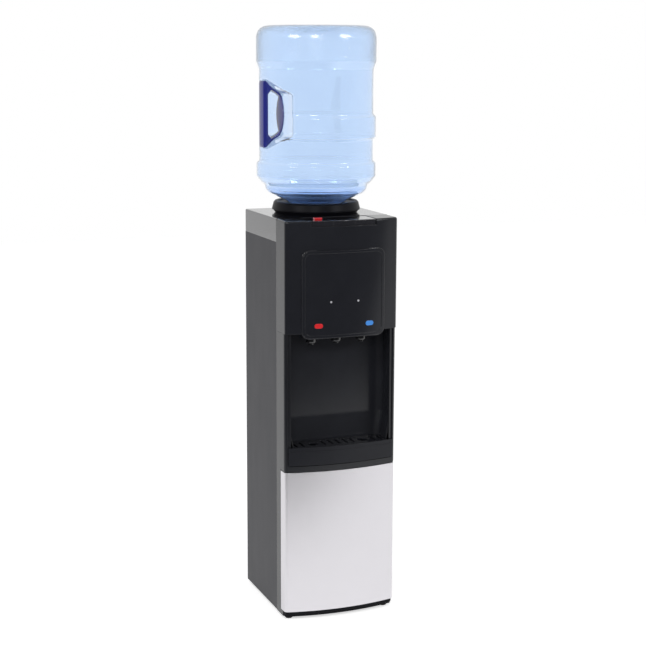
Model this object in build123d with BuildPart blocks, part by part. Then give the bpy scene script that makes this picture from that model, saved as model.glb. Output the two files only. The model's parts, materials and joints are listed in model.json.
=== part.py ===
"""Top-loading water cooler: a slim cabinet with three keys, a drip tray and an inverted bottle.

Units are millimetres. X points to the right of someone facing the cooler, Y points to its rear and
Z points up. The origin lies on the floor, under the middle of the whole object.
"""
import os
from math import cos, radians, sin, sqrt

from build123d import *

os.makedirs("parts", exist_ok=True)

# Cabinet
cabinet_width = 274.0
cabinet_depth = 284.0
front_bow = 18.0
front_corner_radius = 9.0
front_frame_depth = 56.0
foot_height = 8.0
plinth_height = 13.0
lower_panel_height = 337.0
lower_panel_gap = 3.0
strip_height = 12.0
tray_front_height = 42.0
alcove_height = 266.0
upper_panel_height = 257.0
skirt_height = 53.0
sheet = 1.0
moulding_wall = 2.5
frame_wall = 3.0
side_inset = 1.0
rear_corner_radius = 6.0
rear_top_radius = 3.0
fit = 0.3
overcut = 1.0
cut_reach = 20.0

# Plinth and feet
plinth_step = 6.0
plinth_floor = 3.0
plinth_wall = 3.0
plinth_inset_upper = 1.5
plinth_inset_lower = 6.0
plinth_rib_y = -40.0
foot_radius = 9.0
foot_chamfer = 1.5
foot_band = 4.0
foot_waist = 6.5
foot_stem_radius = 4.0
foot_side_inset = 17.0
foot_end_inset = 21.0

# Sheet metal
side_flange = 12.0
side_front_flange = 6.0
steel_front_thickness = 0.8
steel_front_wrap = 28.0
rear_panel_corner = 3.0
louvre_length = 64.0
louvre_height = 3.5
louvre_pitch = 12.0
louvre_rows = 6
louvre_x = 56.0
louvre_top_drop = 120.0
louvre_low_rise = 129.0
screw_head_radius = 4.0
screw_head_height = 2.0
screw_radius = 1.6
screw_length = 8.0
screw_margin = 60.0
screw_row_count = 4

# Upper front panel and its bezel
panel_proud = 5.0
panel_top_radius = 5.0
bezel_side_inset = 37.5
bezel_bottom_hang = 10.0
bezel_height = 199.0
bezel_thickness = 2.4
bezel_corner = 20.0
bezel_rim = 6.0
bezel_recess = 0.9
lens_length = 20.0
lens_width = 11.0
lens_rise = 18.0
lens_proud = 0.8
lens_pocket = 1.0
lens_edge = 0.5
window_radius = 2.4
window_x = 33.0
window_rise = 72.0
window_proud = 0.3
window_tail = 3.0

# Alcove and drip tray
rail_width = 7.0
opening_corner = 4.0
lip_width = 8.0
lip_thickness = 2.5
alcove_side_gap = 3.0
alcove_back = 62.0
alcove_corner = 14.0
alcove_wall = 2.0
liner_flange = 6.0
ledge_inset = 12.0
ledge_back = 52.0
ledge_corner = 12.0
ledge_rise = 3.0
splay_height = 52.0
ceiling_rise = 7.0
tray_gap = 2.0
tray_floor_rise = 1.0
tray_front_proud = 3.0
tray_front_inset = 0.8
tray_front_wall = 4.0
tray_wall = 3.0
tray_step_height = 9.0
tray_step_depth = 1.0
tray_clearance = 0.5
tray_ledge = 2.0
grille_thickness = 4.0
grille_slot_width = 6.0
grille_slot_length = 44.0
grille_slot_pitch = 17.7
grille_slot_setback = 21.7
grille_hole_radius = 12.5
grille_hole_setback = 15.7

# Keys, rods and taps
key_slot_depth = 14.0
key_slot_back = 4.0
key_pitch = 52.8
key_gap = 0.4
key_travel = 8.0
key_wall = 2.5
key_drop = 0.6
key_skirt = 22.0
key_edge = 1.2
key_front_gap = 0.5
key_boss_radius = 7.0
key_boss_lift = 2.0
tap_spacing = 62.0
tap_setback = 30.0
rod_radius = 4.0
rod_grip = 14.0
rod_collar_radius = 7.5
rod_collar_height = 3.0
stem_radius = 2.5
stem_reach = 28.0
running_fit = 0.1
carrier_below_cover = 56.0
carrier_thickness = 3.0
guide_gap = 3.4
guide_wall = 3.0
latch_width = 18.0
latch_depth = 14.0
latch_height = 4.0
latch_travel = 6.0
latch_setback = 13.0
latch_corner = 2.0
latch_edge = 1.0
latch_foot_width = 6.0
latch_foot_depth = 5.0
latch_keeper = 1.5
latch_keeper_overhang = 1.25
spout_radius = 13.0
spout_nose = 5.0
spout_drop = 33.0
nozzle_tip = 3.0
nozzle_radius = 6.5
nozzle_bore = 4.5
tap_flange_radius = 18.0
tap_flange_height = 3.0
tap_body_radius = 11.0
tap_height = 40.0
tap_chamber_radius = 7.5
tap_chamber_lift = 3.5
inlet_radius = 5.5
inlet_bore = 3.0
inlet_rise = 22.0
inlet_length = 17.0
spring_radius = 6.2
spring_wire = 1.2
spring_turns = 5
spring_length = 26.0

# Bottle
bottle_setback = 22.0
bottle_band = 140.0
bottle_body = 133.0
bottle_wall = 2.0
bottle_base_round = 34.0
bottle_sink = 27.5
bottle_height = 434.0
bottle_push_up = 12.0
bottle_push_up_radius = 75.0
shoulder_low = (72.0, 28.5)
shoulder_high = (113.0, 48.0)
neck_foot = (40.0, 5.0)
low_band = (86.0, 116.0)
mid_band = (177.0, 224.0)
high_band = (351.0, 398.0)
high_flare = 19.0
band_slope = 6.0
flank = ((21.5, 30.0), (19.0, 20.0), (9.0, 11.0))
neck_radius = 27.5
neck_length = 55.0
neck_top = 5.0
cap_wall = 1.6
cap_height = 26.0
cap_hole = 11.0
handle_inset = 4.0
handle_bar = 19.0
handle_width = 22.0
handle_strap = 3.0
handle_strap_width = 38.0
handle_middle = 230.0
recess_depth_middle = 60.0
recess_depth_end = 53.0
recess_half_middle = 44.0
recess_half_step = 57.0
recess_half_outer = 81.0
recess_step = 32.0
recess_run_out = 5.0
recess_run_out_rise = 4.0
finger_gap_half = 50.0

# Bottle seat, cold tank and hot tank
collar_radius = 103.5
collar_top_radius = 97.0
collar_foot_radius = 96.0
collar_height = 27.5
collar_tier = 6.5
collar_opening = 89.0
collar_skirt = 10.0
collar_wall = 2.5
collar_bevel = 2.5
collar_bevel_rise = 1.2
collar_band = 4.0
collar_shoulder = 3.0
collar_shoulder_drop = 3.5
collar_rim = 2.0
collar_rim_step = 1.0
collar_rim_drop = 3.0
cover_lip = 9.0
seat_radius = 66.0
seat_gap = 0.4
throat_lead = 2.0
throat_radius = 40.0
throat_depth = 65.0
probe_radius = 8.0
probe_bore = 5.5
probe_height = 50.0
probe_collar = 12.0
probe_collar_height = 2.0
probe_tail = 8.0
probe_tip = 3.0
probe_port_drop = 12.0
probe_port_length = 12.0
probe_port_width = 5.0
tank_radius = 70.0
tank_height = 148.0
tank_wall = 1.5
tank_flange = 10.0
foam_wall = 14.0
foam_gap = 0.6
coil_wire = 6.0
coil_turns = 4
coil_pitch = 16.5
coil_lift = 36.0
seal_height = 4.0
seal_overlap = 2.0
seal_width = 7.0
shelf_thickness = 2.0
shelf_front = 86.0
shelf_edge = 15.0
hanger_depth = 40.0
hanger_gap = 1.0
hot_tank_radius = 46.0
hot_tank_height = 118.0
hot_tank_drop = 204.5
hot_tank_y = 30.0
hot_tank_dome = 6.0
thermostat_radius = 8.0
thermostat_height = 9.0
thermostat_spread = 18.0
tab_thickness = 1.0
tab_width = 5.0
tab_height = 6.0

# Water tubes
tube_radius = 4.0
tube_bend = 10.0
cold_port_rise = 19.5
room_port_drop = 23.5
hot_port_x = 24.0
hot_line_rise = 32.0
fill_gap = 14.0
fill_drop = 22.0

# Refrigeration and rear fittings
condenser_reach = 24.8
condenser_tube = 5.0
condenser_runs = 9
condenser_pitch = 42.0
condenser_bend = 20.0
condenser_side_inset = 29.0
condenser_low_z = 330.0
condenser_wire = 1.6
condenser_wires = 14
condenser_wire_inset = 6.0
condenser_wire_margin = 10.0
bracket_inset = 26.0
bracket_width = 12.0
bracket_height = 18.0
bracket_nose = 4.0
compressor_radius = 56.0
compressor_height = 104.0
compressor_y = 52.0
compressor_dome = 34.0
compressor_seam = 1.5
compressor_seam_height = 4.0
stub_wall = 1.0
terminal_width = 44.0
terminal_depth = 24.0
terminal_height = 46.0
terminal_rise = 14.0
compressor_plate = 2.5
mount_spread = 48.0
mount_height = 12.0
mount_radius = 9.0
mount_bolt = 3.0
mount_rim = 4.0
mount_waist = 6.5
mount_boss = 3.0
stub_height = 66.0
stub_length = 10.0
line_radius = 2.5
line_bend = 15.0
line_inset = 4.0
suction_radius = 3.5
suction_side_inset = 27.0
suction_rise = 95.5
drier_setback = 24.0
drier_radius = 9.0
drier_length = 84.0
drier_cone = 12.0
drier_drop = 20.0
panel_pass = 8.0
switch_drop = 180.0
switch_side_inset = 69.0
switch_pitch = 26.0
switch_radius = 10.0
switch_width = 13.0
switch_tilt = 10.0
switch_depth = 14.0
switch_window_width = 52.0
switch_window_height = 26.0
switch_plate_width = 62.0
switch_plate_height = 36.0
switch_plate_thickness = 1.5
switch_plate_corner = 3.0
switch_housing_wall = 2.5
switch_housing_gap = 1.0
switch_floor = 1.0
rocker_proud = 4.0
rocker_dip = 1.8
rocker_half = 12.0
rocker_root = 2.0
rocker_keel = 8.0
rocker_keel_half = 4.0
drain_z = 250.0
drain_radius = 9.0
drain_flange = 3.0
drain_flange_thickness = 1.0
drain_bore = 4.0
drain_reach = 12.0
drain_cap_radius = 13.0
drain_cap_height = 14.0
drain_cap_edge = 1.5
drain_cap_grips = 8
drain_cap_grip = 1.5
cord_side_inset = 37.0
cord_z = 60.0
cord_bush_radius = 6.5
cord_bush_depth = 5.0
cord_flange = 3.0
cord_flange_thickness = 2.0
cord_nose = 7.0
cord_nose_wall = 1.0
cord_nose_taper = 12.0
cord_bore = 3.8

# Worked out from the sizes above
half_width = cabinet_width / 2
front_reach = cabinet_depth / 2 + front_bow + panel_proud + bezel_thickness
rear_reach = cabinet_depth / 2 + condenser_reach
middle_y = (front_reach - rear_reach) / 2
corner_y = middle_y - cabinet_depth / 2
rear_y = middle_y + cabinet_depth / 2
seam_y = corner_y + front_frame_depth
bow_radius = (half_width**2 + front_bow**2) / (2 * front_bow)
bow_centre_y = corner_y - front_bow + bow_radius
inner_half = half_width - side_inset - sheet
opening_half = half_width - rail_width
lip_half = opening_half - lip_width
alcove_half = opening_half - alcove_side_gap
ledge_half = alcove_half - ledge_inset
foot_x = half_width - foot_side_inset
foot_y = cabinet_depth / 2 - foot_end_inset
key_width = key_pitch - key_gap
key_slot_half = key_pitch + key_width / 2 + fit
condenser_half = half_width - condenser_side_inset
bracket_x = condenser_half - bracket_inset
condenser_wire_half = bracket_x - condenser_wire_inset
line_x = condenser_half - line_inset
suction_x = half_width - suction_side_inset
switch_x = half_width - switch_side_inset
cord_x = half_width - cord_side_inset

plinth_top = foot_height + plinth_height
lower_panel_top = plinth_top + lower_panel_height
strip_bottom = lower_panel_top + lower_panel_gap
strip_top = strip_bottom + strip_height
tray_bottom = strip_top + tray_gap
tray_top = tray_bottom + tray_front_height
alcove_top = tray_top + alcove_height
cover_top = alcove_top + upper_panel_height
skirt_bottom = cover_top - skirt_height
bottle_y = middle_y + bottle_setback
tap_y = corner_y + tap_setback
lens_z = alcove_top + lens_rise
window_z = alcove_top + window_rise
louvre_top_z = cover_top - louvre_top_drop
louvre_low_z = plinth_top + louvre_low_rise
switch_plate_z = cover_top - switch_drop
condenser_high_z = condenser_low_z + (condenser_runs - 1) * condenser_pitch
condenser_y = rear_y + condenser_reach - condenser_tube / 2 - condenser_wire - running_fit


def bow_y(x, proud):
    """Y of the bowed front at x, moved outwards by proud."""
    return bow_centre_y - sqrt((bow_radius + proud) ** 2 - x**2)


def bowed_plan(half, back, proud, corner=0.0, mode=Mode.ADD):
    """Plan with a straight back, straight sides and the bowed front edge."""
    nose = bow_y(half, proud)
    with BuildSketch() as plan:
        with BuildLine():
            ThreePointArc((-half, nose), (0, bow_y(0, proud)), (half, nose))
            Polyline((half, nose), (half, back), (-half, back), (-half, nose))
        make_face()
        if corner:
            fillet(plan.vertices().group_by(Axis.Y)[0], radius=corner)
    add(plan.sketch, mode=mode)


def front_plane(x, z, proud):
    """Plane that touches the bowed front at x and z and faces outwards."""
    reach = bow_radius + proud
    across = x / reach
    along = sqrt(1 - across**2)
    return Plane(origin=(x, bow_y(x, proud), z), x_dir=(along, across, 0), z_dir=(across, -along, 0))


def turned_plane(x, y):
    """Upright plane through a vertical axis at x and y, for profiles that are revolved."""
    return Plane(origin=(x, y, 0), x_dir=(1, 0, 0), z_dir=(0, -1, 0))


def turned(x, y, *points, rounds=(), mode=Mode.ADD):
    """Revolve the closed outline through points of radius and height about the axis at x and y.

    Each entry of rounds is a radius, a height and the fillet of the corner there.
    """
    with BuildSketch(turned_plane(x, y)) as profile:
        with BuildLine():
            Polyline(*points, close=True)
        make_face()
        for corner_radius, corner_z, size in rounds:
            corner = profile.vertices().sort_by_distance((corner_radius, corner_z, 0))[0]
            fillet(corner, radius=size)
    revolve(profile.sketch, axis=Axis((x, y, 0), (0, 0, 1)), mode=mode)


def round_corner(x, y, radius):
    """Round the sketch corner nearest to x and y."""
    fillet(vertices().sort_by_distance((x, y, 0))[0], radius=radius)


def half_turns(radius, pitch, turns, x, y, z):
    """Coil centre line: half turns, each an arc whose ends run level."""
    side = 1
    height = z
    for _ in range(2 * turns):
        quarter = height + pitch / 4
        ThreePointArc(
            (x + side * radius, y, height),
            (x, y + side * radius, quarter),
            (x - side * radius, y, height + pitch / 2),
        )
        side = -side
        height += pitch / 2


def pipe(radius, bend, *points, mode=Mode.ADD):
    """Sweep a round bar along straight runs joined by arcs of the radius bend."""
    with BuildLine() as route:
        FilletPolyline(*points, radius=bend)
    with BuildSketch(Plane(origin=route.line @ 0, z_dir=route.line % 0)) as section:
        Circle(radius)
    sweep(section.sketch, path=route.line, mode=mode)


def finish(piece, label):
    """Name a finished piece and write it."""
    piece.part.label = label
    export_step(piece.part, f"parts/{label}.step")


# Plinth: a two-step tray that carries the compressor and closes the bottom
plinth_half = inner_half - fit
plinth_back = rear_y - fit
with BuildPart() as base_plinth:
    with BuildSketch(Plane.XY.offset(foot_height)):
        bowed_plan(plinth_half, plinth_back, -plinth_inset_lower, front_corner_radius)
    extrude(amount=plinth_step)
    with BuildSketch(Plane.XY.offset(foot_height + plinth_step)):
        bowed_plan(plinth_half, plinth_back, -plinth_inset_upper, front_corner_radius)
    extrude(amount=plinth_height - plinth_step - fit)
    with BuildSketch(Plane.XY.offset(foot_height + plinth_floor)):
        bowed_plan(
            plinth_half - plinth_wall,
            plinth_back - plinth_wall,
            -plinth_inset_lower - plinth_wall,
            front_corner_radius,
        )
    extrude(amount=plinth_height, mode=Mode.SUBTRACT)
    with BuildSketch(Plane.XY.offset(foot_height)):
        with Locations((0, middle_y)):
            with GridLocations(2 * foot_x, 2 * foot_y, 2, 2):
                Circle(foot_stem_radius + fit)
    extrude(amount=plinth_floor, mode=Mode.SUBTRACT)
    with BuildSketch(Plane.XY.offset(foot_height + plinth_floor)):
        with Locations((0, middle_y + compressor_y)):
            with GridLocations(2 * mount_spread, 2 * mount_spread, 2, 2):
                Circle(mount_radius)
    extrude(amount=mount_boss)
    with BuildSketch(Plane.XY.offset(foot_height + plinth_floor)):
        for rib_y in (seam_y, middle_y + plinth_rib_y):
            with Locations((0, rib_y)):
                Rectangle(2 * plinth_half - plinth_wall, plinth_wall)
    extrude(amount=plinth_height - plinth_floor - mount_boss)
finish(base_plinth, "base_plinth")

# Feet: a turned glide under each corner, with its stem in the plinth floor
with BuildPart() as feet:
    for x in (-foot_x, foot_x):
        for y in (middle_y - foot_y, middle_y + foot_y):
            turned(
                x,
                y,
                (0, 0),
                (foot_radius - foot_chamfer, 0),
                (foot_radius, foot_chamfer),
                (foot_radius, foot_band),
                (foot_waist, foot_height),
                (foot_stem_radius, foot_height),
                (foot_stem_radius, foot_height + plinth_floor - fit),
                (0, foot_height + plinth_floor - fit),
            )
finish(feet, "feet")

# Side panels: folded sheet, flanged at both ends above the plinth
side_outer = half_width - side_inset
rear_panel_height = skirt_bottom - plinth_top - 2 * fit
rear_middle_z = (skirt_bottom + plinth_top) / 2
rear_plane = Plane(origin=(0, rear_y, 0), x_dir=(-1, 0, 0), z_dir=(0, 1, 0))
screw_row_gap = (rear_panel_height - 2 * screw_margin) / (screw_row_count - 1)
screw_rows = [plinth_top + screw_margin + step * screw_row_gap for step in range(screw_row_count)]
screw_x = side_outer - side_flange / 2
with BuildPart() as side_panel_left:
    with BuildSketch(Plane.XY.offset(foot_height)):
        with Locations((-side_outer, seam_y + fit)):
            Rectangle(sheet, rear_y - seam_y - fit, align=(Align.MIN, Align.MIN))
    extrude(amount=skirt_bottom - foot_height)
    with BuildSketch(Plane.XY.offset(plinth_top + fit)):
        with Locations((-side_outer, seam_y + fit)):
            Rectangle(side_front_flange, sheet, align=(Align.MIN, Align.MIN))
        with Locations((-side_outer, rear_y - sheet)):
            Rectangle(side_flange, sheet, align=(Align.MIN, Align.MIN))
    extrude(amount=skirt_bottom - plinth_top - side_flange)
    with BuildSketch(rear_plane):
        for row_z in screw_rows:
            with Locations((screw_x, row_z)):
                Circle(screw_radius)
    extrude(amount=-2 * sheet, mode=Mode.SUBTRACT)
finish(side_panel_left, "side_panel_left")

with BuildPart() as side_panel_right:
    mirror(side_panel_left.part, about=Plane.YZ)
finish(side_panel_right, "side_panel_right")

# Rear panel: sheet with pressed louvre slots, over the side flanges
with BuildPart() as rear_panel:
    with BuildSketch(rear_plane):
        with Locations((0, rear_middle_z)):
            RectangleRounded(2 * inner_half, rear_panel_height, rear_panel_corner)
        for bank_z in (louvre_top_z, louvre_low_z):
            with Locations((0, bank_z)):
                with GridLocations(2 * louvre_x, louvre_pitch, 2, louvre_rows):
                    SlotOverall(louvre_length, louvre_height, mode=Mode.SUBTRACT)
        for row_z in screw_rows:
            with Locations((-screw_x, row_z), (screw_x, row_z)):
                Circle(screw_radius + fit, mode=Mode.SUBTRACT)
        with Locations((-line_x, condenser_high_z), (line_x, condenser_low_z)):
            Circle(condenser_tube / 2 + 2 * fit, mode=Mode.SUBTRACT)
        with Locations((hot_port_x, drain_z)):
            Circle(drain_radius + fit, mode=Mode.SUBTRACT)
        with Locations((-cord_x, cord_z)):
            Circle(cord_bush_radius + fit, mode=Mode.SUBTRACT)
        with Locations((-switch_x, switch_plate_z)):
            Rectangle(switch_window_width, switch_window_height, mode=Mode.SUBTRACT)
    extrude(amount=sheet)
    with BuildSketch(rear_plane.offset(sheet)):
        for run_z in (condenser_low_z, condenser_high_z):
            with Locations((0, run_z)):
                with GridLocations(2 * bracket_x, 1, 2, 1):
                    Rectangle(bracket_width, bracket_height)
    extrude(amount=sheet)
    with BuildSketch(rear_plane.offset(sheet)):
        for run_z in (condenser_low_z, condenser_high_z):
            with Locations((0, run_z)):
                with GridLocations(2 * bracket_x, 1, 2, 1):
                    Rectangle(2 * sheet, bracket_height)
    extrude(amount=condenser_y - rear_y - sheet + bracket_nose)
    for run_z in (condenser_low_z, condenser_high_z):
        with BuildSketch(Plane(origin=(0, condenser_y, run_z), x_dir=(0, 1, 0), z_dir=(1, 0, 0))):
            Circle(condenser_tube / 2 + running_fit)
        extrude(amount=2 * bracket_x, both=True, mode=Mode.SUBTRACT)
finish(rear_panel, "rear_panel")

rear_screws_plane = Plane(origin=(0, rear_y + sheet, 0), x_dir=(-1, 0, 0), z_dir=(0, 1, 0))
with BuildPart() as rear_screws:
    for row_z in screw_rows:
        with BuildSketch(rear_screws_plane):
            with Locations((-screw_x, row_z), (screw_x, row_z)):
                Circle(screw_head_radius)
        extrude(amount=screw_head_height)
        with BuildSketch(rear_screws_plane):
            with Locations((-screw_x, row_z), (screw_x, row_z)):
                Circle(screw_radius - running_fit)
        extrude(amount=-screw_length)
finish(rear_screws, "rear_screws")

# Front frame: side rails, jambs, the strip under the tray and the backing of the steel front
front_face_plane = Plane(origin=(0, seam_y, 0), x_dir=(1, 0, 0), z_dir=(0, -1, 0))
past_front = front_frame_depth + front_bow + cut_reach
recess_depth = steel_front_thickness + fit / 2
rail_corner = front_corner_radius - side_inset - sheet
with BuildPart() as front_frame:
    with BuildSketch(Plane.XY.offset(foot_height)):
        bowed_plan(half_width, seam_y, 0, front_corner_radius)
        bowed_plan(inner_half, seam_y + overcut, -frame_wall, rail_corner, mode=Mode.SUBTRACT)
    extrude(amount=alcove_top - foot_height - fit)
    with BuildSketch(front_face_plane):
        with Locations((0, strip_top)):
            Rectangle(2 * opening_half, alcove_top, align=(Align.CENTER, Align.MIN))
        round_corner(-opening_half, strip_top, opening_corner)
        round_corner(opening_half, strip_top, opening_corner)
    extrude(amount=past_front, mode=Mode.SUBTRACT)
    with BuildSketch(Plane.XY.offset(strip_top - opening_corner)):
        bowed_plan(inner_half, seam_y, -frame_wall, rail_corner)
        bowed_plan(half_width, seam_y + overcut, -frame_wall - lip_thickness, mode=Mode.SUBTRACT)
        with Locations((0, corner_y)):
            Rectangle(2 * lip_half, past_front, mode=Mode.SUBTRACT)
    extrude(amount=alcove_top - strip_top + opening_corner - fit)
    with BuildSketch(Plane.XY.offset(plinth_top)):
        bowed_plan(half_width + overcut, corner_y + steel_front_wrap, overcut, front_corner_radius)
        bowed_plan(
            half_width - recess_depth,
            corner_y + steel_front_wrap + overcut,
            -recess_depth,
            front_corner_radius - recess_depth,
            mode=Mode.SUBTRACT,
        )
    extrude(amount=strip_bottom - plinth_top, mode=Mode.SUBTRACT)
    with BuildSketch(Plane.XY.offset(foot_height)):
        with Locations((0, corner_y + steel_front_wrap / 2)):
            Rectangle(cabinet_width + 2 * overcut, past_front, align=(Align.CENTER, Align.MAX))
    extrude(amount=plinth_height, mode=Mode.SUBTRACT)
finish(front_frame, "front_frame")

# Stainless lower front, wrapped round both corners into the frame's recess
with BuildPart() as lower_front_panel:
    with BuildSketch(Plane.XY.offset(plinth_top + fit)):
        bowed_plan(half_width, corner_y + steel_front_wrap - fit, 0, front_corner_radius)
        bowed_plan(
            half_width - steel_front_thickness,
            corner_y + steel_front_wrap + overcut,
            -steel_front_thickness,
            front_corner_radius - steel_front_thickness,
            mode=Mode.SUBTRACT,
        )
    extrude(amount=lower_panel_height - fit)
finish(lower_front_panel, "lower_front_panel")

# Upper front panel: a hollow moulding with the key slot in its top edge
panel_inner_half = half_width - moulding_wall
slot_back_y = seam_y - key_slot_back
slot_floor_z = cover_top - key_slot_depth
windows = [front_plane(side * window_x, window_z, panel_proud) for side in (-1, 1)]
with BuildPart() as upper_front_panel:
    with BuildSketch(Plane.XY.offset(alcove_top)):
        bowed_plan(half_width, seam_y, panel_proud, front_corner_radius)
    extrude(amount=upper_panel_height)
    fillet(edges().group_by(Axis.Z)[-1].sort_by(Axis.Y)[:-1], radius=panel_top_radius)
    with BuildSketch(Plane.XY.offset(alcove_top)):
        bowed_plan(
            panel_inner_half,
            seam_y + overcut,
            panel_proud - moulding_wall,
            front_corner_radius - moulding_wall,
        )
    extrude(amount=upper_panel_height - moulding_wall, mode=Mode.SUBTRACT)
    with BuildSketch(Plane.XY.offset(slot_floor_z)):
        with Locations((0, slot_back_y)):
            Rectangle(2 * key_slot_half, past_front, align=(Align.CENTER, Align.MAX))
    extrude(amount=key_slot_depth + overcut, mode=Mode.SUBTRACT)
    for window in windows:
        with BuildSketch(window):
            Circle(window_radius + fit)
        extrude(amount=2 * moulding_wall, both=True, mode=Mode.SUBTRACT)
finish(upper_front_panel, "upper_front_panel")

# Bezel: a thin curved plate with a raised rim, hanging a little below the panel
bezel_width = 2 * (half_width - bezel_side_inset)
bezel_low_z = alcove_top - bezel_bottom_hang
bezel_middle_z = bezel_low_z + bezel_height / 2
bezel_field = panel_proud + bezel_thickness - bezel_recess
with BuildPart() as bezel_field_space:
    with BuildSketch(Plane.XY.offset(bezel_low_z)):
        bowed_plan(half_width, seam_y, panel_proud + bezel_thickness + overcut)
        bowed_plan(half_width + overcut, seam_y + overcut, bezel_field, mode=Mode.SUBTRACT)
    extrude(amount=bezel_height)
    with BuildSketch(front_face_plane):
        with Locations((0, bezel_middle_z)):
            RectangleRounded(
                bezel_width - 2 * bezel_rim,
                bezel_height - 2 * bezel_rim,
                bezel_corner - bezel_rim,
            )
    extrude(amount=past_front, mode=Mode.INTERSECT)

with BuildPart() as bezel_plate:
    with BuildSketch(Plane.XY.offset(bezel_low_z)):
        bowed_plan(half_width, seam_y, panel_proud + bezel_thickness)
        bowed_plan(half_width + overcut, seam_y + overcut, panel_proud, mode=Mode.SUBTRACT)
    extrude(amount=bezel_height)
    with BuildSketch(front_face_plane):
        with Locations((0, bezel_middle_z)):
            RectangleRounded(bezel_width, bezel_height, bezel_corner)
    extrude(amount=past_front, mode=Mode.INTERSECT)
    add(bezel_field_space.part, mode=Mode.SUBTRACT)
    for side in (-1, 1):
        with BuildSketch(front_plane(side * tap_spacing, lens_z, bezel_field - lens_pocket)):
            SlotOverall(lens_length + fit, lens_width + fit)
        extrude(amount=bezel_thickness, mode=Mode.SUBTRACT)
    for window in windows:
        with BuildSketch(window):
            Circle(window_radius + fit)
        extrude(amount=2 * bezel_thickness, both=True, mode=Mode.SUBTRACT)
finish(bezel_plate, "bezel_plate")

# Lenses: two pills that sit in pockets of the bezel
with BuildPart() as hot_lens:
    with BuildSketch(front_plane(-tap_spacing, lens_z, bezel_field - lens_pocket)):
        SlotOverall(lens_length, lens_width)
    extrude(amount=lens_pocket + lens_proud)
    chamfer(faces().sort_by(Axis.Y)[0].edges(), length=lens_edge)
finish(hot_lens, "hot_lens")

with BuildPart() as cold_lens:
    mirror(hot_lens.part, about=Plane.YZ)
finish(cold_lens, "cold_lens")

# Indicator windows: two light pipes through the bezel and the panel
with BuildPart() as indicator_windows:
    for window in windows:
        with BuildSketch(window):
            Circle(window_radius)
        extrude(amount=bezel_thickness - bezel_recess + window_proud)
        with BuildSketch(window):
            Circle(window_radius)
        extrude(amount=-moulding_wall - window_tail)
finish(indicator_windows, "indicator_windows")

# Top cover: a skirted moulding with the collar's opening
cover_inner_half = half_width - moulding_wall
cover_back = rear_y + sheet
with BuildPart() as top_cover:
    with BuildSketch(Plane.XY.offset(skirt_bottom)):
        with Locations((0, seam_y + fit)):
            Rectangle(cabinet_width, cover_back - seam_y - fit, align=(Align.CENTER, Align.MIN))
        round_corner(-half_width, cover_back, rear_corner_radius)
        round_corner(half_width, cover_back, rear_corner_radius)
    extrude(amount=skirt_height)
    fillet(edges().group_by(Axis.Z)[-1].sort_by(Axis.Y)[1:], radius=rear_top_radius)
    with BuildSketch(Plane.XY.offset(skirt_bottom)):
        with Locations((0, seam_y + fit + moulding_wall)):
            Rectangle(
                2 * cover_inner_half,
                cover_back - seam_y - fit - 2 * moulding_wall,
                align=(Align.CENTER, Align.MIN),
            )
    extrude(amount=skirt_height - moulding_wall, mode=Mode.SUBTRACT)
    with BuildSketch(Plane.XY.offset(cover_top - moulding_wall)):
        with Locations((0, bottle_y)):
            Circle(collar_opening)
    extrude(amount=moulding_wall, mode=Mode.SUBTRACT)
    with BuildSketch(Plane.XY.offset(cover_top - moulding_wall)):
        with Locations((0, bottle_y)):
            Circle(collar_opening + moulding_wall)
            Circle(collar_opening, mode=Mode.SUBTRACT)
    extrude(amount=-cover_lip)
finish(top_cover, "top_cover")

# Alcove liner: a splayed box, open at the front, with holes in its ceiling for the taps
tray_floor = strip_top + tray_floor_rise
ledge_z = tray_top + ledge_rise
ceiling_z = alcove_top + ceiling_rise
liner_front = -frame_wall - lip_thickness - fit


def alcove_space(grow):
    """Add the alcove's space, grown outwards by grow on its closed sides."""
    sections = []
    for z, half, back, corner in (
        (tray_floor - grow, ledge_half, ledge_back, ledge_corner),
        (ledge_z, ledge_half, ledge_back, ledge_corner),
        (ledge_z + splay_height, alcove_half, alcove_back, alcove_corner),
        (ceiling_z + grow, alcove_half, alcove_back, alcove_corner),
    ):
        with BuildSketch(Plane.XY.offset(z)) as section:
            with Locations((0, corner_y + back + grow)):
                Rectangle(2 * (half + grow), past_front, align=(Align.CENTER, Align.MAX))
            round_corner(-half, corner_y + back, corner + grow)
            round_corner(half, corner_y + back, corner + grow)
        sections.append(section.sketch)
    loft(sections, ruled=True)


with BuildPart() as alcove_cavity:
    alcove_space(0)

with BuildPart() as liner_limit:
    with BuildSketch(Plane.XY.offset(tray_floor - alcove_wall)):
        bowed_plan(half_width, middle_y, liner_front)
    extrude(amount=ceiling_z + alcove_wall - tray_floor + alcove_wall)
    with BuildSketch(Plane.XY.offset(ceiling_z)):
        bowed_plan(half_width, middle_y, panel_proud - moulding_wall - fit)
    extrude(amount=alcove_wall)

with BuildPart() as alcove_liner:
    alcove_space(alcove_wall)
    add(alcove_cavity.part, mode=Mode.SUBTRACT)
    add(liner_limit.part, mode=Mode.INTERSECT)
    with BuildSketch(Plane.XY.offset(ledge_z + splay_height)):
        bowed_plan(alcove_half + liner_flange, middle_y, liner_front)
        bowed_plan(half_width, middle_y + overcut, liner_front - alcove_wall, mode=Mode.SUBTRACT)
        with Locations((0, corner_y)):
            Rectangle(2 * alcove_half, past_front, mode=Mode.SUBTRACT)
    extrude(amount=ceiling_z - ledge_z - splay_height)
    with BuildSketch(Plane.XY.offset(ceiling_z)):
        with Locations((0, corner_y + tap_setback)):
            with GridLocations(tap_spacing, 1, 3, 1):
                Circle(spout_radius + fit)
    extrude(amount=alcove_wall, mode=Mode.SUBTRACT)
finish(alcove_liner, "alcove_liner")

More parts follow.
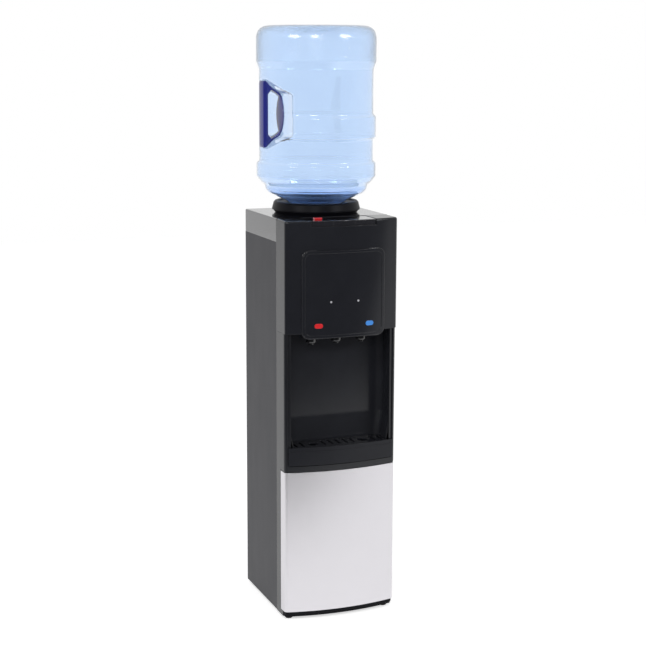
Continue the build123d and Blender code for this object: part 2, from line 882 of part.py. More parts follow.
# Drip tray: a bin behind a curved fascia, with a ledge for the grille
bin_half = ledge_half - tray_clearance
bin_back = corner_y + ledge_back - tray_clearance
bin_floor = tray_floor + fit
bin_inner_half = bin_half - tray_wall
bin_inner_back = bin_back - tray_wall
bin_corner = ledge_corner - tray_wall - tray_ledge
fascia_back = tray_front_proud - tray_front_wall
grille_seat_z = tray_top - grille_thickness - fit
with BuildPart() as drip_tray:
    with BuildSketch(Plane.XY.offset(bin_floor)):
        bowed_plan(bin_half, bin_back, fascia_back)
        round_corner(-bin_half, bin_back, ledge_corner - tray_clearance)
        round_corner(bin_half, bin_back, ledge_corner - tray_clearance)
    extrude(amount=tray_top - bin_floor)
    with BuildSketch(Plane.XY.offset(bin_floor + tray_wall)):
        bowed_plan(bin_inner_half - tray_ledge, bin_inner_back - tray_ledge, fascia_back - tray_ledge)
        round_corner(tray_ledge - bin_inner_half, bin_inner_back - tray_ledge, bin_corner)
        round_corner(bin_inner_half - tray_ledge, bin_inner_back - tray_ledge, bin_corner)
    extrude(amount=tray_top - bin_floor, mode=Mode.SUBTRACT)
    with BuildSketch(Plane.XY.offset(grille_seat_z)):
        bowed_plan(bin_inner_half, bin_inner_back, fascia_back)
        round_corner(-bin_inner_half, bin_inner_back, ledge_corner - tray_wall)
        round_corner(bin_inner_half, bin_inner_back, ledge_corner - tray_wall)
    extrude(amount=tray_top, mode=Mode.SUBTRACT)
    with BuildSketch(Plane.XY.offset(tray_bottom)):
        bowed_plan(opening_half - tray_front_inset, seam_y, tray_front_proud)
        bowed_plan(half_width, seam_y + overcut, fascia_back, mode=Mode.SUBTRACT)
    extrude(amount=tray_front_height - tray_step_height)
    with BuildSketch(Plane.XY.offset(tray_top - tray_step_height)):
        bowed_plan(opening_half - tray_front_inset, seam_y, tray_front_proud - tray_step_depth)
        bowed_plan(half_width, seam_y + overcut, fascia_back, mode=Mode.SUBTRACT)
    extrude(amount=tray_step_height)
finish(drip_tray, "drip_tray")

# Drip grille: slots run front to back, and two round holes take a fingertip
slot_count = int((bin_inner_half - fit - grille_slot_width / 2) // grille_slot_pitch)
grille_columns = [
    grille_slot_pitch * column
    for column in range(-slot_count, slot_count + 1)
    if abs(abs(grille_slot_pitch * column) - tap_spacing) > grille_hole_radius + grille_slot_width
]
grille_slot_y = corner_y + grille_slot_setback
grille_hole_y = corner_y + grille_hole_setback
with BuildPart() as drip_grille:
    with BuildSketch(Plane.XY.offset(grille_seat_z + fit)):
        bowed_plan(bin_inner_half - fit, bin_inner_back - fit, fascia_back - fit)
        round_corner(fit - bin_inner_half, bin_inner_back, ledge_corner - tray_wall)
        round_corner(bin_inner_half - fit, bin_inner_back, ledge_corner - tray_wall)
        for column_x in grille_columns:
            with Locations((column_x, grille_slot_y)):
                SlotOverall(grille_slot_length, grille_slot_width, rotation=90, mode=Mode.SUBTRACT)
        with Locations((-tap_spacing, grille_hole_y), (tap_spacing, grille_hole_y)):
            Circle(grille_hole_radius, mode=Mode.SUBTRACT)
    extrude(amount=grille_thickness)
finish(drip_grille, "drip_grille")

# Key carrier: a plate across the panel whose bushes guide the push rods
tap_places = {"hot": -tap_spacing, "room": 0.0, "cold": tap_spacing}
carrier_z = cover_top - carrier_below_cover
key_top = cover_top - key_drop
key_bottom = key_top - key_skirt
carrier_half = panel_inner_half - fit
with BuildPart() as key_carrier:
    with BuildSketch(Plane.XY.offset(carrier_z)):
        bowed_plan(
            carrier_half,
            seam_y - overcut,
            panel_proud - moulding_wall - fit,
            front_corner_radius - moulding_wall,
        )
        with Locations((0, tap_y)):
            with GridLocations(tap_spacing, 1, 3, 1):
                Circle(rod_radius + fit, mode=Mode.SUBTRACT)
    extrude(amount=carrier_thickness)
    with BuildSketch(Plane.XY.offset(carrier_z)):
        with Locations((0, tap_y)):
            with GridLocations(tap_spacing, 1, 3, 1):
                Circle(rod_radius + fit + guide_wall)
                Circle(rod_radius + fit, mode=Mode.SUBTRACT)
    extrude(amount=key_bottom - key_travel - guide_gap - carrier_z)
finish(key_carrier, "key_carrier")

# Keys: hollow caps, each with a boss that grips its push rod
key_front = panel_proud - moulding_wall - key_front_gap
key_back = slot_back_y - fit
key_places = {"hot": -key_pitch, "room": 0.0, "cold": key_pitch}
boss_bottom = key_bottom + key_boss_lift
rod_top = boss_bottom + rod_grip
latch_x = -key_pitch
latch_y = corner_y + latch_setback


def key_cap(x, tap_x):
    """Add one key, its middle at x and its rod boss at tap_x."""
    with BuildSketch(Plane.XY.offset(key_bottom)) as outline:
        bowed_plan(key_slot_half, key_back, key_front)
        with Locations((x, key_back)):
            Rectangle(key_width, past_front, align=(Align.CENTER, Align.MAX), mode=Mode.INTERSECT)
    extrude(outline.sketch, amount=key_skirt)
    fillet(edges().group_by(Axis.Z)[-1], radius=key_edge)
    with BuildSketch(Plane.XY.offset(key_bottom)) as hollow:
        bowed_plan(key_slot_half, key_back - key_wall, key_front - key_wall)
        with Locations((x, key_back)):
            Rectangle(
                key_width - 2 * key_wall,
                past_front,
                align=(Align.CENTER, Align.MAX),
                mode=Mode.INTERSECT,
            )
    extrude(hollow.sketch, amount=key_skirt - key_wall, mode=Mode.SUBTRACT)
    with BuildSketch(Plane.XY.offset(boss_bottom)) as boss:
        with Locations((tap_x, tap_y)):
            Circle(key_boss_radius)
    extrude(boss.sketch, amount=key_top - key_wall - boss_bottom)
    with BuildSketch(Plane.XY.offset(boss_bottom)) as bore:
        with Locations((tap_x, tap_y)):
            Circle(rod_radius + running_fit)
    extrude(bore.sketch, amount=rod_grip + running_fit, mode=Mode.SUBTRACT)


with BuildPart() as hot_key:
    key_cap(key_places["hot"], tap_places["hot"])
    with BuildSketch(Plane.XY.offset(key_top - key_wall)):
        with Locations((latch_x, latch_y + latch_travel / 2)):
            Rectangle(latch_foot_width + 2 * fit, latch_foot_depth + latch_travel + 2 * fit)
    extrude(amount=key_wall, mode=Mode.SUBTRACT)
finish(hot_key, "hot_key")

with BuildPart() as room_key:
    key_cap(key_places["room"], tap_places["room"])
finish(room_key, "room_key")

with BuildPart() as cold_key:
    key_cap(key_places["cold"], tap_places["cold"])
finish(cold_key, "cold_key")

# Child latch: a ribbed slider on the hot key, kept by a foot below the key's top
keeper_width = latch_foot_width + 2 * latch_keeper_overhang
keeper_depth = latch_foot_depth + 2 * latch_keeper_overhang
with BuildPart() as child_lock:
    with BuildSketch(Plane.XY.offset(key_top + fit)):
        with Locations((latch_x, latch_y)):
            RectangleRounded(latch_width, latch_depth, latch_corner)
    extrude(amount=latch_height)
    fillet(edges().group_by(Axis.Z)[-1], radius=latch_edge)
    with BuildSketch(Plane.XY.offset(key_top + fit)):
        with Locations((latch_x, latch_y)):
            Rectangle(latch_foot_width, latch_foot_depth)
    extrude(amount=-key_wall - 2 * fit)
    with BuildSketch(Plane.XY.offset(key_top - key_wall - fit)):
        with Locations((latch_x, latch_y)):
            Rectangle(keeper_width, keeper_depth)
    extrude(amount=-latch_keeper)
finish(child_lock, "child_lock")

# Taps: spout, flange on the alcove's ceiling, valve chamber and an inlet at the rear
liner_top = ceiling_z + alcove_wall
bonnet_top = liner_top + tap_height
nozzle_z = liner_top - alcove_wall - ceiling_rise - spout_drop
stem_bottom = bonnet_top - stem_reach
rod_collar_z = bonnet_top + spring_length


def tap(x):
    """Add one tap whose axis stands at x."""
    turned(
        x,
        tap_y,
        (nozzle_bore, nozzle_z),
        (nozzle_radius, nozzle_z),
        (nozzle_radius, nozzle_z + nozzle_tip),
        (spout_radius, nozzle_z + nozzle_tip),
        (spout_radius, liner_top),
        (tap_flange_radius, liner_top),
        (tap_flange_radius, liner_top + tap_flange_height),
        (tap_body_radius, liner_top + tap_flange_height),
        (tap_body_radius, bonnet_top),
        (stem_radius + running_fit, bonnet_top),
        (stem_radius + running_fit, bonnet_top - tap_flange_height),
        (tap_chamber_radius, bonnet_top - tap_flange_height),
        (tap_chamber_radius, liner_top + tap_chamber_lift),
        (nozzle_bore, liner_top + tap_chamber_lift),
        rounds=((spout_radius, nozzle_z + nozzle_tip, spout_nose),),
    )
    inlet_plane = Plane(origin=(x, tap_y, liner_top + inlet_rise), x_dir=(-1, 0, 0), z_dir=(0, 1, 0))
    with BuildSketch(inlet_plane.offset((tap_body_radius + tap_chamber_radius) / 2)) as stub:
        Circle(inlet_radius)
        Circle(inlet_bore, mode=Mode.SUBTRACT)
    extrude(stub.sketch, amount=inlet_length - (tap_body_radius + tap_chamber_radius) / 2)


with BuildPart() as hot_tap:
    tap(tap_places["hot"])
finish(hot_tap, "hot_tap")

with BuildPart() as room_tap:
    tap(tap_places["room"])
finish(room_tap, "room_tap")

with BuildPart() as cold_tap:
    tap(tap_places["cold"])
finish(cold_tap, "cold_tap")


def push_rod(x):
    """Add one push rod, with the collar that its spring lifts and the valve stem below it."""
    turned(
        x,
        tap_y,
        (0, stem_bottom),
        (stem_radius, stem_bottom),
        (stem_radius, rod_collar_z),
        (rod_collar_radius, rod_collar_z),
        (rod_collar_radius, rod_collar_z + rod_collar_height),
        (rod_radius, rod_collar_z + rod_collar_height),
        (rod_radius, rod_top),
        (0, rod_top),
    )


with BuildPart() as push_rod_hot:
    push_rod(tap_places["hot"])
finish(push_rod_hot, "push_rod_hot")

with BuildPart() as push_rod_room:
    push_rod(tap_places["room"])
finish(push_rod_room, "push_rod_room")

with BuildPart() as push_rod_cold:
    push_rod(tap_places["cold"])
finish(push_rod_cold, "push_rod_cold")

# Return springs: wound between the tap bonnet and the rod's collar
spring_low = bonnet_top + fit + spring_wire / 2
spring_pitch = (rod_collar_z - bonnet_top - 2 * fit - spring_wire) / spring_turns


def return_spring(x):
    """Add one spring whose axis stands at x."""
    with BuildLine() as wire:
        half_turns(spring_radius, spring_pitch, spring_turns, x, tap_y, spring_low)
    with BuildSketch(Plane(origin=wire.line @ 0, z_dir=wire.line % 0)) as section:
        RegularPolygon(spring_wire / 2, 6)
    sweep(section.sketch, path=wire.line)


with BuildPart() as valve_spring_hot:
    return_spring(tap_places["hot"])
finish(valve_spring_hot, "valve_spring_hot")

with BuildPart() as valve_spring_room:
    return_spring(tap_places["room"])
finish(valve_spring_room, "valve_spring_room")

with BuildPart() as valve_spring_cold:
    return_spring(tap_places["cold"])
finish(valve_spring_cold, "valve_spring_cold")

# Bottle seat: a two-step collar on the cover, a cone for the bottle's shoulder and a throat below it
collar_top = cover_top + collar_height
tier_top = cover_top + collar_tier
bottle_base = collar_top - bottle_sink
cone_slope = (shoulder_low[1] - neck_foot[1]) / (shoulder_low[0] - neck_foot[0])
throat_floor = cover_top - throat_depth
seat_inner = throat_radius + throat_lead
seat_flange = tank_radius + seal_width - seal_overlap


def seat_height(radius):
    """Height of the seat's cone at a radius, a small gap below the bottle's shoulder."""
    return bottle_base + neck_foot[1] + (radius - neck_foot[0]) * cone_slope - seat_gap


seat_edge_z = seat_height(seat_radius)
throat_top = seat_height(seat_inner)
with BuildPart() as bottle_collar:
    turned(
        0,
        bottle_y,
        (collar_opening - fit - collar_wall, cover_top - collar_skirt),
        (collar_opening - fit, cover_top - collar_skirt),
        (collar_opening - fit, cover_top),
        (collar_foot_radius, cover_top),
        (collar_radius - collar_bevel, tier_top),
        (collar_radius, tier_top + collar_bevel_rise),
        (collar_radius, tier_top + collar_band),
        (collar_top_radius + collar_shoulder, collar_top - collar_shoulder_drop),
        (collar_top_radius, collar_top),
        (collar_opening + collar_rim, collar_top),
        (collar_opening - collar_rim_step, collar_top - collar_rim_drop),
        (seat_radius, seat_edge_z),
        (seat_inner, throat_top),
        (throat_radius, throat_top - throat_lead),
        (throat_radius, throat_floor),
        (probe_radius + running_fit, throat_floor),
        (probe_radius + running_fit, throat_floor - collar_wall),
        (seat_flange, throat_floor - collar_wall),
        (seat_flange, throat_floor),
        (throat_radius + collar_wall, throat_floor),
        (throat_radius + collar_wall, throat_top - throat_lead),
        (seat_radius, seat_edge_z - collar_wall),
        (collar_opening - fit - collar_wall, seat_edge_z - collar_wall),
        rounds=(
            (collar_top_radius + collar_shoulder, collar_top - collar_shoulder_drop, collar_shoulder),
            (collar_opening + collar_rim, collar_top, collar_rim),
        ),
    )
finish(bottle_collar, "bottle_collar")

# Feed probe: a tube with side ports that stands in the throat and opens the bottle's cap
with BuildPart() as feed_probe:
    turned(
        0,
        bottle_y,
        (probe_bore, throat_floor - collar_wall - probe_tail),
        (probe_radius, throat_floor - collar_wall - probe_tail),
        (probe_radius, throat_floor),
        (probe_collar, throat_floor),
        (probe_collar, throat_floor + probe_collar_height),
        (probe_radius, throat_floor + probe_collar_height),
        (probe_radius, throat_floor + probe_height - probe_tip),
        (probe_bore, throat_floor + probe_height),
    )
    with BuildSketch(turned_plane(0, bottle_y)):
        with Locations((0, throat_floor + probe_height - probe_port_drop)):
            SlotOverall(probe_port_length, probe_port_width, rotation=90)
    extrude(amount=2 * probe_radius, both=True, mode=Mode.SUBTRACT)
finish(feed_probe, "feed_probe")

# Tank seal: a flat ring between the seat's flange and the tank's rim
tank_rim = throat_floor - collar_wall - seal_height
with BuildPart() as tank_seal:
    with BuildSketch(Plane.XY.offset(tank_rim)):
        with Locations((0, bottle_y)):
            Circle(tank_radius - seal_overlap + seal_width)
            Circle(tank_radius - seal_overlap, mode=Mode.SUBTRACT)
    extrude(amount=seal_height)
finish(tank_seal, "tank_seal")

# Cold tank: a drawn steel cup with a rim flange
tank_bottom = tank_rim - tank_height
with BuildPart() as cold_tank:
    turned(
        0,
        bottle_y,
        (0, tank_bottom),
        (tank_radius, tank_bottom),
        (tank_radius, tank_rim - tank_wall),
        (tank_radius + tank_flange, tank_rim - tank_wall),
        (tank_radius + tank_flange, tank_rim),
        (tank_radius - tank_wall, tank_rim),
        (tank_radius - tank_wall, tank_bottom + tank_wall),
        (0, tank_bottom + tank_wall),
    )
finish(cold_tank, "cold_tank")

# Evaporator: tube wound round the tank in half turns whose ends run level
coil_z = tank_bottom + coil_lift
coil_radius = tank_radius + fit + coil_wire / 2
with BuildPart() as evaporator_coil:
    with BuildLine() as winding:
        half_turns(coil_radius, coil_pitch, coil_turns, 0, bottle_y, coil_z)
    with BuildSketch(Plane(origin=winding.line @ 0, z_dir=winding.line % 0)) as coil_section:
        RegularPolygon(coil_wire / 2, 6)
    sweep(coil_section.sketch, path=winding.line)
finish(evaporator_coil, "evaporator_coil")

# Foam jacket round the tank and its coil, bored for the two water tubes and the suction line
foam_inner = tank_radius + fit + coil_wire + foam_gap
foam_outer = foam_inner + foam_wall
foam_bottom = tank_bottom - foam_wall
foam_top = tank_rim - tank_wall
tap_back = tap_y + inlet_length
riser_y = (tap_back + bottle_y - foam_outer) / 2
riser_bend = min(tube_bend, riser_y - tap_back - fit)
tube_cold_z = tank_bottom + cold_port_rise
tube_room_z = tank_rim - room_port_drop
suction_z = tank_bottom + suction_rise
fill_x = hot_tank_radius + fill_gap
room_inlet = (0.0, bottle_y - tank_radius - fit)
cold_dx = tap_spacing
cold_dy = riser_y - bottle_y
cold_reach = (tank_radius + fit) / sqrt(cold_dx**2 + cold_dy**2)
cold_inlet = (cold_dx * cold_reach, bottle_y + cold_dy * cold_reach)
suction_dy = middle_y + compressor_y - bottle_y
suction_reach = (foam_inner + fit) / sqrt(suction_x**2 + suction_dy**2)
suction_end = (-suction_x * suction_reach, bottle_y + suction_dy * suction_reach)


def radial_bore(radius, x, y, z):
    """Bore from x, y and z towards the tank's axis, through the foam's wall."""
    inwards = Vector(-x, bottle_y - y, 0)
    with BuildSketch(Plane(origin=(x, y, z), z_dir=inwards)) as bore:
        Circle(radius)
    extrude(bore.sketch, amount=inwards.length - tank_radius, mode=Mode.SUBTRACT)


with BuildPart() as cold_tank_insulation:
    with BuildSketch(Plane.XY.offset(foam_bottom)):
        with Locations((0, bottle_y)):
            Circle(foam_outer)
    extrude(amount=foam_top - foam_bottom)
    with BuildSketch(Plane.XY.offset(tank_bottom)):
        with Locations((0, bottle_y)):
            Circle(foam_inner)
    extrude(amount=tank_height, mode=Mode.SUBTRACT)
    with BuildSketch(Plane.XY.offset(foam_bottom)):
        with Locations((fill_x, bottle_y)):
            Circle(tube_radius + fit)
    extrude(amount=foam_wall, mode=Mode.SUBTRACT)
    radial_bore(tube_radius + fit, tap_spacing, riser_y, tube_cold_z)
    radial_bore(tube_radius + fit, 0, riser_y, tube_room_z)
    radial_bore(suction_radius + fit, -suction_x, middle_y + compressor_y, suction_z)
finish(cold_tank_insulation, "cold_tank_insulation")

# Tank shelf: a folded shelf between the side panels, with a hanger below it for the hot tank
shelf_half = inner_half - fit
shelf_z = foam_bottom - shelf_thickness
hot_y = middle_y + hot_tank_y
hanger_half = hot_tank_radius + hanger_gap
hot_tank_z = shelf_z - hot_tank_drop
shelf_back = rear_y - sheet - fit
shelf_depth = shelf_back - corner_y - shelf_front
with BuildPart() as tank_shelf:
    with BuildSketch(Plane.XY.offset(shelf_z)):
        with Locations((0, shelf_back)):
            Rectangle(2 * shelf_half, shelf_depth, align=(Align.CENTER, Align.MAX))
        with Locations((fill_x, bottle_y)):
            Circle(tube_radius + fit, mode=Mode.SUBTRACT)
        with Locations((-suction_x, middle_y + compressor_y)):
            Circle(suction_radius + fit, mode=Mode.SUBTRACT)
    extrude(amount=shelf_thickness)
    with BuildSketch(Plane.XY.offset(shelf_z)):
        for side in (-1, 1):
            with Locations((side * (shelf_half - shelf_thickness / 2), shelf_back)):
                Rectangle(shelf_thickness, shelf_depth, align=(Align.CENTER, Align.MAX))
    extrude(amount=-shelf_edge)
    with BuildSketch(Plane.XY.offset(hot_tank_z - shelf_thickness)):
        for side in (-1, 1):
            with Locations((side * (hanger_half + shelf_thickness / 2), hot_y)):
                Rectangle(shelf_thickness, hanger_depth)
    extrude(amount=shelf_z - hot_tank_z + shelf_thickness)
    with BuildSketch(Plane.XY.offset(hot_tank_z - shelf_thickness)):
        with Locations((0, hot_y)):
            Rectangle(2 * hanger_half + 2 * shelf_thickness, hanger_depth)
            with GridLocations(2 * hot_port_x, 1, 2, 1):
                Circle(tube_radius + fit, mode=Mode.SUBTRACT)
    extrude(amount=shelf_thickness)
finish(tank_shelf, "tank_shelf")

# Hot tank: a closed steel can with dished ends
hot_tank_top = hot_tank_z + hot_tank_height
with BuildPart() as hot_tank:
    with BuildSketch(Plane.XY.offset(hot_tank_z)):
        with Locations((0, hot_y)):
            Circle(hot_tank_radius)
    extrude(amount=hot_tank_height)
    chamfer(edges().group_by(Axis.Z)[-1], length=hot_tank_dome)
    chamfer(edges().group_by(Axis.Z)[0], length=hot_tank_dome / 2)
finish(hot_tank, "hot_tank")

with BuildPart() as heater_thermostats:
    with BuildSketch(Plane.XY.offset(hot_tank_top)):
        with Locations((thermostat_spread, hot_y)):
            with GridLocations(1, 2 * thermostat_spread, 1, 2):
                Circle(thermostat_radius)
    extrude(amount=thermostat_height)
    with BuildSketch(Plane.XY.offset(hot_tank_top + thermostat_height)):
        with Locations((thermostat_spread, hot_y)):
            with GridLocations(thermostat_radius, 2 * thermostat_spread, 2, 2):
                Rectangle(tab_thickness, tab_width)
    extrude(amount=tab_height)
finish(heater_thermostats, "heater_thermostats")

# Water tubes
tap_inlet_z = liner_top + inlet_rise
hot_line_y = corner_y + (alcove_back + alcove_wall + shelf_front) / 2
with BuildPart() as cold_tube:
    pipe(
        tube_radius,
        riser_bend,
        (tap_places["cold"], tap_back, tap_inlet_z),
        (tap_places["cold"], riser_y, tap_inlet_z),
        (tap_places["cold"], riser_y, tube_cold_z),
        (cold_inlet[0], cold_inlet[1], tube_cold_z),
    )
finish(cold_tube, "cold_tube")

with BuildPart() as room_tube:
    pipe(
        tube_radius,
        riser_bend,
        (tap_places["room"], tap_back, tap_inlet_z),
        (tap_places["room"], riser_y, tap_inlet_z),
        (tap_places["room"], riser_y, tube_room_z),
        (room_inlet[0], room_inlet[1], tube_room_z),
    )
finish(room_tube, "room_tube")

with BuildPart() as hot_tube:
    pipe(
        tube_radius,
        tube_bend,
        (-hot_port_x, hot_y, hot_tank_top),
        (-hot_port_x, hot_y, hot_tank_top + hot_line_rise),
        (tap_places["hot"], hot_line_y, hot_tank_top + hot_line_rise),
        (tap_places["hot"], hot_line_y, tap_inlet_z),
        (tap_places["hot"], tap_back, tap_inlet_z),
    )
finish(hot_tube, "hot_tube")

with BuildPart() as fill_tube:
    pipe(
        tube_radius,
        tube_bend,
        (fill_x, bottle_y, tank_bottom),
        (fill_x, bottle_y, hot_tank_z - fill_drop),
        (hot_port_x, hot_y, hot_tank_z - fill_drop),
        (hot_port_x, hot_y, hot_tank_z),
    )
finish(fill_tube, "fill_tube")

# Drain: a line from the hot tank to a threaded outlet through the rear panel, and its cap
drain_plane = Plane(origin=(-hot_port_x, rear_y, drain_z), x_dir=(-1, 0, 0), z_dir=(0, 1, 0))
with BuildPart() as drain_fitting:
    pipe(
        tube_radius,
        tube_bend,
        (-hot_port_x, hot_y, hot_tank_z),
        (-hot_port_x, hot_y, drain_z),
        (-hot_port_x, rear_y - panel_pass, drain_z),
    )
    with BuildSketch(drain_plane.offset(-panel_pass)):
        Circle(drain_radius)
    extrude(amount=panel_pass + sheet + drain_reach)
    with BuildSketch(drain_plane.offset(-sheet - drain_flange_thickness)):
        Circle(drain_radius + drain_flange)
    extrude(amount=sheet + drain_flange_thickness - fit)
    with BuildSketch(drain_plane.offset(sheet + drain_reach)):
        Circle(drain_bore)
    extrude(amount=-drain_reach - panel_pass, mode=Mode.SUBTRACT)
finish(drain_fitting, "drain_fitting")

with BuildPart() as drain_cap:
    with BuildSketch(drain_plane.offset(2 * sheet)):
        Circle(drain_cap_radius)
    extrude(amount=drain_cap_height)
    chamfer(faces().sort_by(Axis.Y)[-1].edges(), length=drain_cap_edge)
    with BuildSketch(drain_plane.offset(sheet)):
        Circle(drain_radius + fit)
    extrude(amount=drain_reach + fit, mode=Mode.SUBTRACT)
    with BuildSketch(drain_plane.offset(2 * sheet)):
        with PolarLocations(drain_cap_radius, drain_cap_grips):
            Circle(drain_cap_grip)
    extrude(amount=drain_cap_height, mode=Mode.SUBTRACT)
finish(drain_cap, "drain_cap")

# Compressor: a welded shell on a foot plate, with its two line stubs and terminal box
comp_y = middle_y + compressor_y
mount_z = foot_height + plinth_floor + mount_boss
plate_z = mount_z + mount_height
shell_z = plate_z + compressor_plate
stub_z = shell_z + stub_height
stub_end = compressor_radius + stub_length
comp_plate = 2 * (mount_spread + mount_radius)
with BuildPart() as compressor:
    with BuildSketch(Plane.XY.offset(plate_z)):
        with Locations((0, comp_y)):
            RectangleRounded(comp_plate, comp_plate, mount_radius)
            with GridLocations(2 * mount_spread, 2 * mount_spread, 2, 2):
                Circle(mount_bolt + fit, mode=Mode.SUBTRACT)
    extrude(amount=compressor_plate)
    turned(
        0,
        comp_y,
        (0, shell_z),
        (compressor_radius - compressor_seam, shell_z),
        (compressor_radius - compressor_seam, shell_z + compressor_height / 2),
        (compressor_radius, shell_z + compressor_height / 2),
        (compressor_radius, shell_z + compressor_height / 2 + compressor_seam_height),
        (compressor_radius - compressor_seam, shell_z + compressor_height / 2 + compressor_seam_height),
        (compressor_radius - compressor_seam, shell_z + compressor_height),
        (0, shell_z + compressor_height),
        rounds=((compressor_radius - compressor_seam, shell_z + compressor_height, compressor_dome),),
    )
    with BuildSketch(Plane(origin=(0, comp_y, stub_z), x_dir=(0, 1, 0), z_dir=(1, 0, 0))):
        Circle(suction_radius + stub_wall)
    extrude(amount=stub_end, both=True)
    with BuildSketch(Plane.XY.offset(shell_z + terminal_rise)):
        with Locations((0, comp_y - compressor_radius)):
            Rectangle(terminal_width, terminal_depth)
    extrude(amount=terminal_height)
finish(compressor, "compressor")

with BuildPart() as compressor_mounts:
    for x in (-mount_spread, mount_spread):
        for y in (comp_y - mount_spread, comp_y + mount_spread):
            turned(
                x,
                y,
                (mount_bolt, mount_z),
                (mount_radius, mount_z),
                (mount_radius, mount_z + mount_rim),
                (mount_waist, mount_z + mount_height / 2),
                (mount_radius, plate_z - mount_rim),
                (mount_radius, plate_z),
                (mount_bolt, plate_z),
            )
finish(compressor_mounts, "compressor_mounts")

# Condenser: one serpentine tube behind the rear panel, with upright wires on both faces
pass_y = rear_y - panel_pass
serpentine = [(line_x, pass_y, condenser_high_z), (line_x, condenser_y, condenser_high_z)]
side = -1
for run in range(condenser_runs - 1):
    run_z = condenser_high_z - run * condenser_pitch
    serpentine.append((side * condenser_half, condenser_y, run_z))
    serpentine.append((side * condenser_half, condenser_y, run_z - condenser_pitch))
    side = -side
serpentine.append((-line_x, condenser_y, condenser_low_z))
serpentine.append((-line_x, pass_y, condenser_low_z))
bends = [line_bend] + [condenser_bend] * (len(serpentine) - 4) + [line_bend]
with BuildPart() as condenser_coil:
    pipe(condenser_tube / 2, bends, *serpentine)
finish(condenser_coil, "condenser_coil")

wire_offset = condenser_tube / 2 + running_fit + condenser_wire / 2
wire_gap = 2 * condenser_wire_half / (condenser_wires - 1)
with BuildPart() as condenser_wires_part:
    with BuildSketch(Plane.XY.offset(condenser_low_z - condenser_wire_margin)):
        for index in range(condenser_wires):
            face = 1 if index % 2 else -1
            with Locations((index * wire_gap - condenser_wire_half, condenser_y + face * wire_offset)):
                Circle(condenser_wire / 2)
    extrude(amount=condenser_high_z - condenser_low_z + 2 * condenser_wire_margin)
finish(condenser_wires_part, "condenser_wires")

# Filter drier: a can on the condenser's outlet
drier_top = condenser_low_z - drier_drop
drier_at = (-line_x, pass_y - drier_setback)
with BuildPart() as filter_drier:
    pipe(
        line_radius,
        tube_bend,
        (-line_x, pass_y, condenser_low_z),
        (drier_at[0], drier_at[1], condenser_low_z),
        (drier_at[0], drier_at[1], drier_top),
    )
    turned(
        drier_at[0],
        drier_at[1],
        (0, drier_top),
        (line_radius, drier_top),
        (drier_radius, drier_top - drier_cone),
        (drier_radius, drier_top - drier_length + drier_cone),
        (line_radius, drier_top - drier_length),
        (0, drier_top - drier_length),
    )
finish(filter_drier, "filter_drier")

# Refrigerant lines between the compressor and the two coils
with BuildPart() as discharge_line:
    pipe(
        line_radius,
        line_bend,
        (stub_end, comp_y, stub_z),
        (line_x, comp_y, stub_z),
        (line_x, comp_y, condenser_high_z),
        (line_x, pass_y, condenser_high_z),
    )
finish(discharge_line, "discharge_line")

with BuildPart() as suction_line:
    pipe(
        suction_radius,
        line_bend,
        (-stub_end, comp_y, stub_z),
        (-suction_x, comp_y, stub_z),
        (-suction_x, comp_y, suction_z),
        (suction_end[0], suction_end[1], suction_z),
    )
finish(suction_line, "suction_line")

# Switch plate with two housings, and its rockers
plate_plane = Plane(origin=(switch_x, rear_y + sheet, switch_plate_z), x_dir=(-1, 0, 0), z_dir=(0, 1, 0))
pivot_y = rear_y + 2 * sheet
with BuildPart() as switch_plate:
    with BuildSketch(plate_plane):
        RectangleRounded(switch_plate_width, switch_plate_height, switch_plate_corner)
    extrude(amount=switch_plate_thickness)
    with BuildSketch(plate_plane):
        with GridLocations(switch_pitch, 1, 2, 1):
            Rectangle(switch_width + 2 * switch_housing_wall, switch_window_height - 2 * switch_housing_gap)
    extrude(amount=-switch_depth)
    with BuildSketch(plate_plane.offset(switch_plate_thickness)):
        with GridLocations(switch_pitch, 1, 2, 1):
            Rectangle(switch_width + 2 * fit, 2 * switch_radius + 2 * fit)
    extrude(amount=switch_floor - switch_depth, mode=Mode.SUBTRACT)
finish(switch_plate, "switch_plate")


def rocker(x):
    """Add one rocker whose pivot runs along X, tilted to its off side."""
    tilted = (0, cos(radians(switch_tilt)), sin(radians(switch_tilt)))
    corner = (x - switch_width / 2, pivot_y, switch_plate_z)
    side_plane = Plane(origin=corner, x_dir=tilted, z_dir=(1, 0, 0))
    with BuildSketch(side_plane) as outline:
        with BuildLine():
            Polyline(
                (-rocker_root, -rocker_half),
                (rocker_proud, -rocker_half),
                (rocker_dip, 0),
                (rocker_proud, rocker_half),
                (-rocker_root, rocker_half),
                (-rocker_keel, rocker_keel_half),
                (-rocker_keel, -rocker_keel_half),
                close=True,
            )
        make_face()
        Circle(switch_radius, mode=Mode.INTERSECT)
    extrude(outline.sketch, amount=switch_width)


with BuildPart() as hot_switch:
    rocker(switch_x - switch_pitch / 2)
finish(hot_switch, "hot_switch")

with BuildPart() as cold_switch:
    rocker(switch_x + switch_pitch / 2)
finish(cold_switch, "cold_switch")

